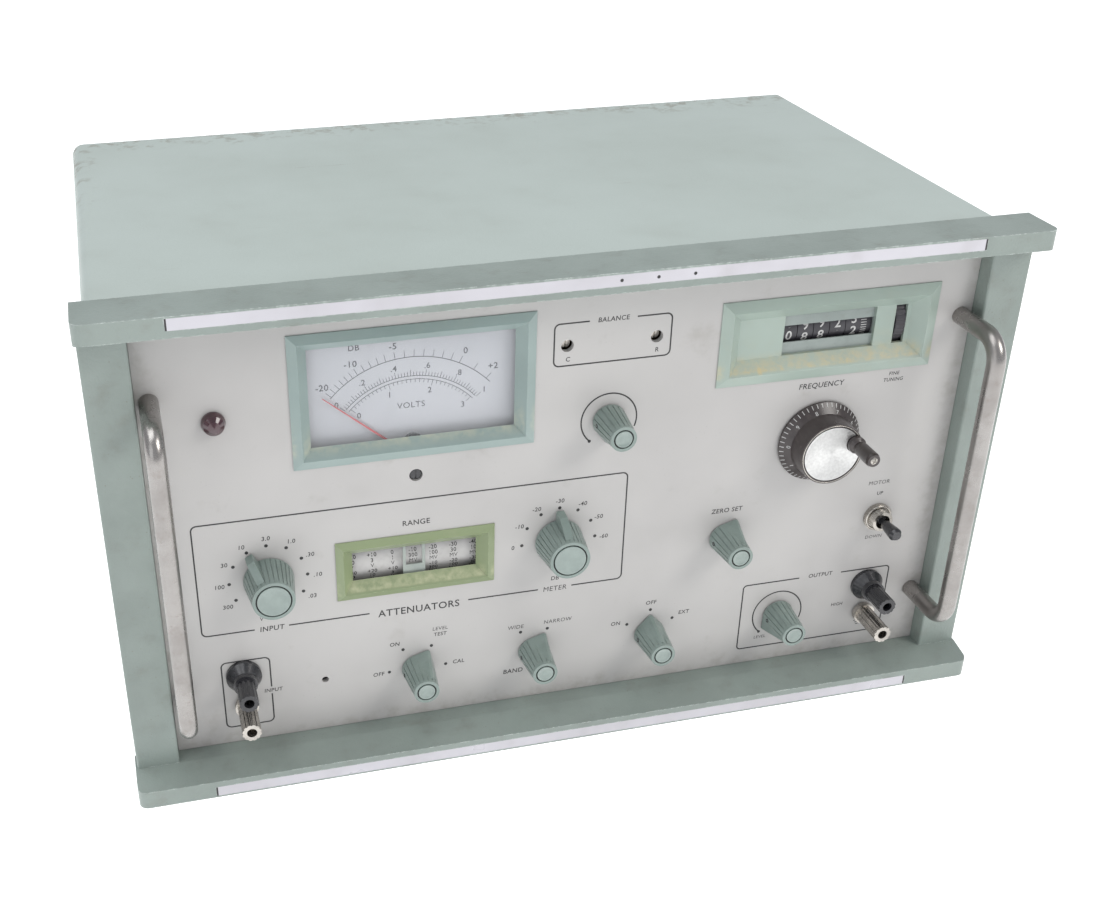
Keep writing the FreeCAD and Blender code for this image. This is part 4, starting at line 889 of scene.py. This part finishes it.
# ------------------------------------------------------------------- panel meter
@dataclass
class PanelMeter:
    """The meter's printed card and the cover over its pivot."""

    x: float = -83.9
    z: float = 173.0
    sweep: float = 49.0
    decibel_radius: float = 54.7
    volt_radius: float = 43.5

    def figures(self, y: float) -> list[bpy.types.Object]:
        """The figures of both scales and the two plain words."""
        labels = [Label("VOLTS", self.x, 201.5, 3.2, 0.0), Label("DB", self.x - 28, 235.4, 3.0, 0.0)]

        def spread(radius: float, texts: list[str], angles: list[float], cap: float) -> None:
            """Set figures along an arc."""
            for text, angle in zip(texts, angles):
                labels.append(Label(text, *around(self.x, self.z, radius, angle), cap, 0.0))

        spread(self.decibel_radius + 7.0, ["-20", "-10", "-5", "0", "+2"], [-46, -29, -8, 27, 43], 3.3)
        spread(self.volt_radius + 6.3, ["0", ".2", ".4", ".6", ".8", "1"],
               [self.sweep * (0.4 * i - 1) for i in range(6)], 3.0)
        spread(self.volt_radius - 6.6, ["0", "1", "2", "3"], [-46, -17, 15, 46], 3.0)
        return [lettering(label, y) for label in labels]

    def build(self) -> None:
        """Print the card and add the pivot's cover."""
        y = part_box("meter_scale")[0].y
        sweep = self.sweep
        lines = [arc_line(self.x, self.z, self.decibel_radius, y, -sweep, sweep, 0.4)]
        for shift in (0.9, -0.9):
            lines.append(arc_line(self.x, self.z, self.volt_radius + shift, y, -sweep, sweep, 0.32))
        tens = [sweep * (0.2 * i - 1) for i in range(11)]
        fine = [sweep * (0.04 * i - 1) for i in range(51)]
        lower = [-46 + 3.07 * i for i in range(31)]
        decibels = [*range(-47, -28, 3), *range(-25, -12, 4), *range(-8, 28, 5), 36, 45]
        lines += tick_ring(self.x, self.z, self.decibel_radius, self.decibel_radius + 3.6, y, decibels)
        lines += tick_ring(self.x, self.z, self.volt_radius + 0.9, self.volt_radius + 4.0, y, tens)
        lines += tick_ring(self.x, self.z, self.volt_radius + 0.9, self.volt_radius + 2.9, y, fine)
        lines += tick_ring(self.x, self.z, self.volt_radius - 2.9, self.volt_radius - 0.9, y, lower)
        lines += tick_ring(self.x, self.z, self.volt_radius - 4.2, self.volt_radius - 0.9, y, lower[::10])
        hand_in(join(lines + self.figures(y), "meter_print"), "root", FAINT_INK)
        self.pivot_cover()

    def pivot_cover(self) -> None:
        """The small black cover in front of the needle's pivot."""
        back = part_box("meter_needle")[0].y - 0.3 * MM
        depth = 1.0 * MM
        cylinder((self.x * MM, back - depth / 2, 182.0 * MM), 5.2 * MM, depth, 40)
        cover = name_it("pivot_cover")
        use(cover, "BEVEL", width=0.4 * MM, segments=3)
        hand_in(smooth(cover), "root", POST_BLACK)


# -------------------------------------------------------------- figured cylinders
@dataclass
class FiguredCylinder:
    """Figures printed round a cylinder that turns about a line along X."""

    node: str
    body: str
    pitch_angle: float
    finish: object
    slot: Slot

    def wrap(self, piece: bpy.types.Object) -> bpy.types.Object:
        """Roll a flat print onto the cylinder, from the line that faces the front.

        Args:
            piece: Print that lies on the cylinder's front tangent plane.

        Returns:
            The same piece, rolled.
        """
        low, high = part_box(self.node)
        radius = (high.y - low.y) / 2
        axis_y, axis_z = low.y + radius, (low.z + high.z) / 2
        for vertex in piece.data.vertices:
            angle = (vertex.co.z - axis_z) / radius
            reach = axis_y - vertex.co.y
            vertex.co.y = axis_y - reach * math.cos(angle)
            vertex.co.z = axis_z + reach * math.sin(angle)
        return piece

    def step(self) -> float:
        """How far apart two neighbouring figures stand round the cylinder, in metres."""
        low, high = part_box(self.node)
        return (high.y - low.y) / 2 * math.radians(self.pitch_angle)

    def build(self, name: str, prints: list[bpy.types.Object]) -> None:
        """Join, roll and hand in the prints."""
        hand_in(self.wrap(join(prints, name)), self.body, self.finish)


@dataclass
class FrequencyCounter:
    """The white digits on the counter's wheels, with fine divisions on the last one."""

    cap: float = 5.2
    readings: tuple[float, ...] = (0.25, 8.5, 8.45, 1.6, 2.4)

    def build(self) -> None:
        """Print each wheel so that its reading faces the front."""
        for wheel, reading in zip(DIGIT_WHEELS, self.readings):
            low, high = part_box(wheel)
            print_on = FiguredCylinder(wheel, wheel, 36.0, WHITE_INK, Slot.WHITE)
            middle = (low.z + high.z) / 2
            last = wheel == DIGIT_WHEELS[-1]
            x = low.x + (4.6 * MM if last else (high.x - low.x) / 2)
            prints = []
            for digit in range(10):
                turns = (digit - reading + 5) % 10 - 5
                z = middle + turns * print_on.step()
                prints.append(lettering(Label(str(digit), x / MM, z / MM, self.cap, 0.0), low.y))
            if last:
                prints += self.divisions(low, high, middle, print_on.step(), reading)
            print_on.build(f"{wheel}_digits", prints)

    def divisions(self, low: Vector, high: Vector, middle: float, step: float,
                  reading: float) -> list[bpy.types.Object]:
        """The fine lines beside the last wheel's digits, five to a step."""
        length, start = 3.2 * MM, low.x + 8.6 * MM
        line = plate((start + length / 2, low.y, middle), length, 0.35 * MM)
        shift = (math.ceil(reading * 5) / 5 - reading) * step
        return copies(line, [Matrix.Translation((0, 0, shift + step * i / 5)) for i in range(-24, 25)])


@dataclass
class RangeDrum:
    """The rows of figures on the range drum: one row for each place of the input switch."""

    rows: range = range(-3, 6)
    columns: int = 7
    column_pitch: float = 11.0
    line_pitch: float = 3.0
    cap: float = 2.2

    def cell(self, row: int, column: int) -> tuple[str, str, str]:
        """The three lines in one place of the drum.

        Args:
            row: The place round the drum, 0 behind the window.
            column: The place along it.

        Returns:
            The decibels, the full-scale figure and its unit.
        """
        steps = column + row
        figures = ("10", "3", "1", "300", "100", "30")
        decibels = 20 - 10 * steps
        return (f"{decibels:+d}" if decibels else "0", figures[steps % 6], "V" if steps < 3 else "MV")

    def build(self) -> None:
        """Print every row; each step to the right is ten decibels less."""
        low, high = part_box("range_drum")
        drum = FiguredCylinder("range_drum", "range_drum", 30.0, INK, Slot.INK)
        window_low, window_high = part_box("range_bezel")
        middle, centre = (window_low.z + window_high.z) / 2, (low.x + high.x) / 2 / MM
        prints = []
        for row in self.rows:
            z = (middle + row * drum.step()) / MM
            for column in range(self.columns):
                x = centre + (column - (self.columns - 1) / 2) * self.column_pitch
                for line, text in enumerate(self.cell(row, column)):
                    place = z + (1 - line) * self.line_pitch
                    prints.append(lettering(Label(text, x, place, self.cap, 0.0), low.y))
        drum.build("range_figures", prints)


# ------------------------------------------------------------------------- knobs
@dataclass
class KnobInserts:
    """The shallow dished buttons in the control knobs' faces, and their set screws."""

    gap: float = 0.75 * MM
    depth: float = 1.0 * MM
    proud: float = 0.15 * MM

    def button(self, name: str, x: float, z: float, front: float, radius: float) -> bpy.types.Object:
        """One dished button.

        Args:
            name: The button's name.
            x: Its middle.
            z: Its middle's height.
            front: The knob's front face.
            radius: The recess that it sits in.

        Returns:
            A settled mesh.
        """
        cylinder((x, front + self.depth / 2 - self.proud, z), radius - self.gap, self.depth, 56)
        piece = name_it(name)
        bpy.ops.object.mode_set(mode="EDIT")
        select_faces(is_front)
        for share, sink in ((0.05, 0.0), (0.12, 0.30), (0.18, 0.26), (0.22, 0.12), (0.18, -0.14)):
            bpy.ops.mesh.inset(thickness=share * radius, depth=-sink * MM)
        bpy.ops.object.mode_set(mode="OBJECT")
        use(piece, "BEVEL", width=0.2 * MM, segments=2, limit_method="ANGLE", angle_limit=math.radians(50))
        return smooth(piece, 40)

    def ring(self, name: str, x: float, z: float, floor: float, radius: float) -> bpy.types.Object:
        """A black disc on the recess floor: painted shade that shows as a dark line in the gap round a
        button.
        """
        thickness = 0.12 * MM
        cylinder((x, floor - thickness / 2, z), radius - 0.02 * MM, thickness, 56)
        piece = name_it(name)
        bpy.ops.object.mode_set(mode="EDIT")
        select_faces(is_front)
        bpy.ops.mesh.inset(thickness=self.gap, depth=0.0)
        bpy.ops.object.mode_set(mode="OBJECT")
        return piece

    def build(self) -> None:
        """Fit every control knob."""
        sizes = [(node, 9.3 * MM, 20.8 * MM) for node in LARGE_KNOBS]
        sizes += [(node, 5.3 * MM, 22.8 * MM) for node in SMALL_KNOBS]
        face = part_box("front_panel")[0].y
        recess = 1.2 * MM
        joints = {joint["child"]: joint for joint in frame["joints"]}
        for node, radius, length in sizes:
            body = node.removesuffix("_knob")
            x, _, z = joints[body]["pos_m"]
            front = face - length
            insert = self.button(f"{body}_button", x, z, front, radius)
            hand_in(insert, body, INSERT)
            # A black disc on the recess floor paints the shade in the gap round each button.
            shade_disc = self.ring(f"{body}_washer", x, z, front + recess, radius)
            hand_in(shade_disc, body, INK)
            if node in SMALL_KNOBS:
                self.set_screw(body, x, z, face)

    def set_screw(self, body: str, x: float, z: float, face: float) -> None:
        """The grub screw in a small knob's side, low on its left."""
        across, back = 8.25 * MM, 5.6 * MM
        cylinder((x - across, face - back, z), 1.15 * MM, 1.0 * MM, 20, (0, math.radians(-90), 0))
        piece = name_it(f"{body}_grub_screw")
        bpy.ops.object.mode_set(mode="EDIT")
        select_faces(lambda _, normal: normal.x < -0.9)
        bpy.ops.mesh.inset(thickness=0.4 * MM)
        bpy.ops.mesh.inset(thickness=0.05 * MM, depth=-0.5 * MM)
        bpy.ops.object.mode_set(mode="OBJECT")
        hand_in(piece, body, POST_BLACK)


@dataclass
class TuningDial:
    """The tuning knob's spun cap and ring, the figures on its skirt and its crank's screw."""

    x: float = 138.1
    z: float = 157.2
    length: float = 17.5
    grip: float = 18.4
    grip_height: float = 6.125
    skirt: float = 23.3
    skirt_height: float = 2.0

    def on_skirt(self, share: float) -> tuple[float, float]:
        """A point on the skirt's slope, as its radius and how far it stands off the panel."""
        radius = self.grip + share * (self.skirt - self.grip)
        return radius, self.grip_height + share * (self.skirt_height - self.grip_height)

    def slope(self) -> float:
        """The turn about X that lays a print on the slope above the knob's middle."""
        return math.atan2(self.skirt - self.grip, self.grip_height - self.skirt_height)

    def figures(self, face: float) -> list[bpy.types.Object]:
        """Nought to nine, rising anticlockwise."""
        made = []
        for digit in range(10):
            deselect()
            radius, height = self.on_skirt(0.05)
            bpy.ops.object.text_add(location=(self.x * MM, face - height * MM, (self.z + radius) * MM),
                                    rotation=(self.slope(), 0, 0))
            text = bpy.context.active_object
            text.data.body = str(digit)
            text.data.size = 2.2 * MM / CAP_SHARE
            text.data.align_x = "CENTER"
            text.data.extrude = 2 * INK_DEPTH
            text.data.resolution_u = 3
            bpy.ops.object.convert(target="MESH")
            piece = settle(bpy.context.active_object)
            piece.data.transform(turned(20 - 36 * (digit - 7), self.x * MM, self.z * MM))
            made.append(piece)
        return made

    def ticks(self, face: float) -> list[bpy.types.Object]:
        """Fifty lines at the skirt's rim."""
        radius, height = self.on_skirt(0.78)
        place = (self.x * MM, face - height * MM, (self.z + radius) * MM)
        line = plate(place, 0.38 * MM, 2.4 * MM, (self.slope(), 0, 0), 2 * INK_DEPTH)
        return copies(line, [turned(7.2 * i + 3.6, self.x * MM, self.z * MM) for i in range(50)])

    def cap(self, face: float) -> None:
        """The spun metal cap in the knob's face, cut away round the crank's collar."""
        front = face - self.length * MM
        radius, thickness = 15.7 * MM, 0.75 * MM
        cylinder((self.x * MM, front + 0.42 * MM, self.z * MM), radius, thickness, 96)
        piece = name_it("spun_cap")
        bpy.ops.object.mode_set(mode="EDIT")
        select_faces(is_front)
        bpy.ops.mesh.inset(thickness=0.5 * MM, depth=0.0)
        bpy.ops.mesh.inset(thickness=0.3 * MM, depth=-0.12 * MM)
        bpy.ops.mesh.inset(thickness=0.45 * radius)
        bpy.ops.object.mode_set(mode="OBJECT")
        cut_away(piece, self.collar_tool(front))
        hand_in(smooth(piece, 30), "tuning", SpunMetal("spun_metal", (self.x * MM, self.z * MM)))

    def collar_tool(self, front: float) -> bpy.types.Object:
        """The space that the crank's collar needs in the cap."""
        x, _, z = crank_place()
        return cylinder((x, front, z), 5.0 * MM, 6 * MM, 40)

    def rim(self, face: float) -> None:
        """The bright ring round the knob's face."""
        deselect()
        front = face - self.length * MM
        bpy.ops.mesh.primitive_torus_add(major_radius=16.75 * MM, minor_radius=0.28 * MM, major_segments=96,
                                         minor_segments=10, location=(self.x * MM, front, self.z * MM),
                                         rotation=FACING_FRONT)
        ring = settle(name_it("cap_rim"))
        cut_away(ring, self.collar_tool(front))
        hand_in(smooth(ring, 60), "tuning", NICKEL)

    def crank_screw(self) -> None:
        """The cross-headed screw in the crank's end."""
        deselect()
        x, _, z = crank_place()
        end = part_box("crank_handle")[0].y
        depth = 1.0 * MM
        bpy.ops.mesh.primitive_uv_sphere_add(segments=32, ring_count=16, radius=2.35 * MM,
                                             location=(x, end + 0.55 * MM, z), scale=(1, 0.42, 1))
        screw = settle(name_it("crank_screw"))
        for turn in (25, 115):
            deselect()
            bpy.ops.mesh.primitive_cube_add(size=1, location=(x, end - 0.3 * MM, z),
                                            scale=(2.9 * MM, depth, 0.6 * MM),
                                            rotation=(0, math.radians(turn), 0))
            cut_away(screw, settle(bpy.context.active_object))
        hand_in(smooth(screw, 30), "crank", NICKEL)

    def build(self) -> None:
        """Dress the tuning knob."""
        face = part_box("front_panel")[0].y
        marks = join(self.figures(face) + self.ticks(face), "dial_figures")
        hand_in(marks, "tuning", WHITE_INK)
        self.cap(face)
        self.rim(face)
        self.crank_screw()


def crank_place() -> tuple[float, float, float]:
    """The crank handle's axis."""
    return next(tuple(joint["pos_m"]) for joint in frame["joints"] if joint["child"] == "crank")


# ------------------------------------------------------------------ small fittings
@dataclass
class Fittings:
    """The strips' marks, the toggle's threads and the inlet's pins."""

    strip_dots: tuple[float, ...] = (10.5, 28.8, 47.2)

    def strip_marks(self) -> None:
        """Three dots on the upper strip and a dark end cap at each end of both."""
        low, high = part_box("rail_strips")
        top, bottom = high.z - 2.9 * MM, low.z + 2.9 * MM
        marks = [disc(x * MM, top, 0.85 * MM, low.y) for x in self.strip_dots]
        for z in (top, bottom):
            for x in (low.x, high.x):
                inward = 1 if x < 0 else -1
                marks.append(plate((x + inward * 0.5 * MM, low.y, z), 0.9 * MM, 5.7 * MM))
        hand_in(join(marks, "strip_marks"), "root", INK)

    def toggle_threads(self) -> None:
        """Rings along the toggle's bushing, for its screw thread and its dress nut."""
        low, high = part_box("toggle_body")
        x, z = (low.x + high.x) / 2, (low.z + high.z) / 2
        front = low.y
        rings = []
        for radius, bead, places in ((5.75, 0.32, (0.4, 1.2, 2.0, 2.8, 3.6, 4.4)), (7.2, 0.75, (5.2,))):
            for place in places:
                deselect()
                bpy.ops.mesh.primitive_torus_add(major_radius=radius * MM, minor_radius=bead * MM,
                                                 major_segments=48, minor_segments=8,
                                                 location=(x, front + place * MM, z), rotation=FACING_FRONT)
                rings.append(settle(bpy.context.active_object))
        hand_in(smooth(join(rings, "toggle_threads"), 60), "root", NICKEL)

    def inlet_pins(self) -> None:
        """Three round pins in the mains inlet."""
        low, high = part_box("power_inlet")
        x, z = (low.x + high.x) / 2, (low.z + high.z) / 2
        pins = []
        for across, up in ((-6.5, -2.5), (6.5, -2.5), (0.0, 3.5)):
            pin = cylinder((x + across * MM, high.y - 11.4 * MM, z + up * MM), 1.6 * MM, 13 * MM, 24)
            pins.append(use(pin, "BEVEL", width=0.5 * MM, segments=3, limit_method="ANGLE"))
        hand_in(smooth(join(pins, "inlet_pins")), "root", NICKEL)

    def build(self) -> None:
        """Add them all."""
        self.strip_marks()
        self.toggle_threads()
        self.inlet_pins()


# ---------------------------------------------------------------- frame and stage
class Dresser:
    """Gives every CAD node its finish and softens the edges that light catches."""

    SOFT_EDGES = {"crown_rail": 0.5, "sill_rail": 0.5, "left_post": 0.3, "right_post": 0.3,
                  "meter_bezel": 0.25, "display_bezel": 0.25, "range_bezel": 0.25}

    def build(self) -> None:
        """Paint the nodes."""
        for name, node in frame["nodes"].items():
            finish = self.finish_of(name)
            node.data.materials.clear()
            node.data.materials.append(Paintbox.of(finish))
            LOG.info("%s: %s", name, finish.name)
            if name in self.SOFT_EDGES:
                soft = node.modifiers.new("soft_edges", "BEVEL")
                soft.width = self.SOFT_EDGES[name] * MM
                soft.segments = 3
                soft.limit_method = "ANGLE"
                soft.angle_limit = math.radians(25)

    @staticmethod
    def finish_of(name: str) -> object:
        """The finish that a node wears."""
        if name in DIGIT_WHEELS:
            return WHEEL
        if name in LARGE_KNOBS + SMALL_KNOBS:
            return KNOB
        return DRESS[name]


@dataclass
class Studio:
    """The pale floor, the soft lights and the camera."""

    camera_place: tuple[float, float, float] = (-0.216, -0.602434, 0.515556)
    camera_turn: tuple[float, float, float] = (1.050972, 0.007497, -0.235851)
    lens: float = 46.52
    shift: tuple[float, float] = (0.09911, 0.03475)

    def floor(self) -> None:
        """A wide pale sheet that the instrument stands on."""
        deselect()
        bpy.ops.mesh.primitive_plane_add(size=40, location=(0, 0, 0))
        sheet = name_it("studio_floor")
        shader = Shader("studio_paper")
        shade = shader.blend(shader.noise(1.5), (0.93, 0.93, 0.93), (0.90, 0.90, 0.90))
        glow = {"Emission Color": (1.0, 1.0, 1.0), "Emission Strength": 0.6}
        sheet.data.materials.append(shader.finish({"Base Color": shade, "Roughness": 0.8, **glow}))

    def light(self, place: Place, size: float, watts: float, tint: Rgb) -> None:
        """One soft square light aimed at the instrument.

        Args:
            place: Where it hangs.
            size: Its side.
            watts: Its power.
            tint: Its colour.
        """
        deselect()
        bpy.ops.object.light_add(type="AREA", location=place)
        lamp = bpy.context.active_object
        lamp.data.energy = watts
        lamp.data.size = size
        lamp.data.color = tint
        lamp.rotation_euler = (Vector((0, 0.05, 0.13)) - Vector(place)).to_track_quat("-Z", "Y").to_euler()

    def build(self) -> None:
        """Set the stage."""
        self.floor()
        world = bpy.data.worlds.new("studio")
        world.use_nodes = True
        world.node_tree.nodes["Background"].inputs[0].default_value = (0.93, 0.95, 1.0, 1.0)
        world.node_tree.nodes["Background"].inputs[1].default_value = 0.55
        bpy.context.scene.world = world
        self.light((1.3, -1.1, 1.5), 0.9, 17, (1.0, 0.97, 0.93))
        self.light((-0.8, 0.0, 2.1), 1.8, 25, (0.97, 0.99, 1.0))
        self.light((-1.6, -1.4, 0.9), 1.4, 5, (0.97, 0.99, 1.0))
        deselect()
        bpy.ops.object.camera_add(location=self.camera_place, rotation=self.camera_turn)
        camera = bpy.context.active_object
        camera.data.lens = self.lens
        camera.data.sensor_width = 36.0
        camera.data.shift_x, camera.data.shift_y = self.shift
        camera.data.clip_end = 50
        bpy.context.scene.camera = camera
        bpy.context.scene.view_settings.view_transform = "Standard"


def main() -> None:
    """Build and dress the instrument."""
    logging.basicConfig(level=logging.INFO, format="%(name)s: %(message)s")
    deselect()
    Dresser().build()
    PanelLegends().build()
    PanelMeter().build()
    FrequencyCounter().build()
    RangeDrum().build()
    KnobInserts().build()
    TuningDial().build()
    Fittings().build()
    Studio().build()


if __name__ == "__main__":
    main()
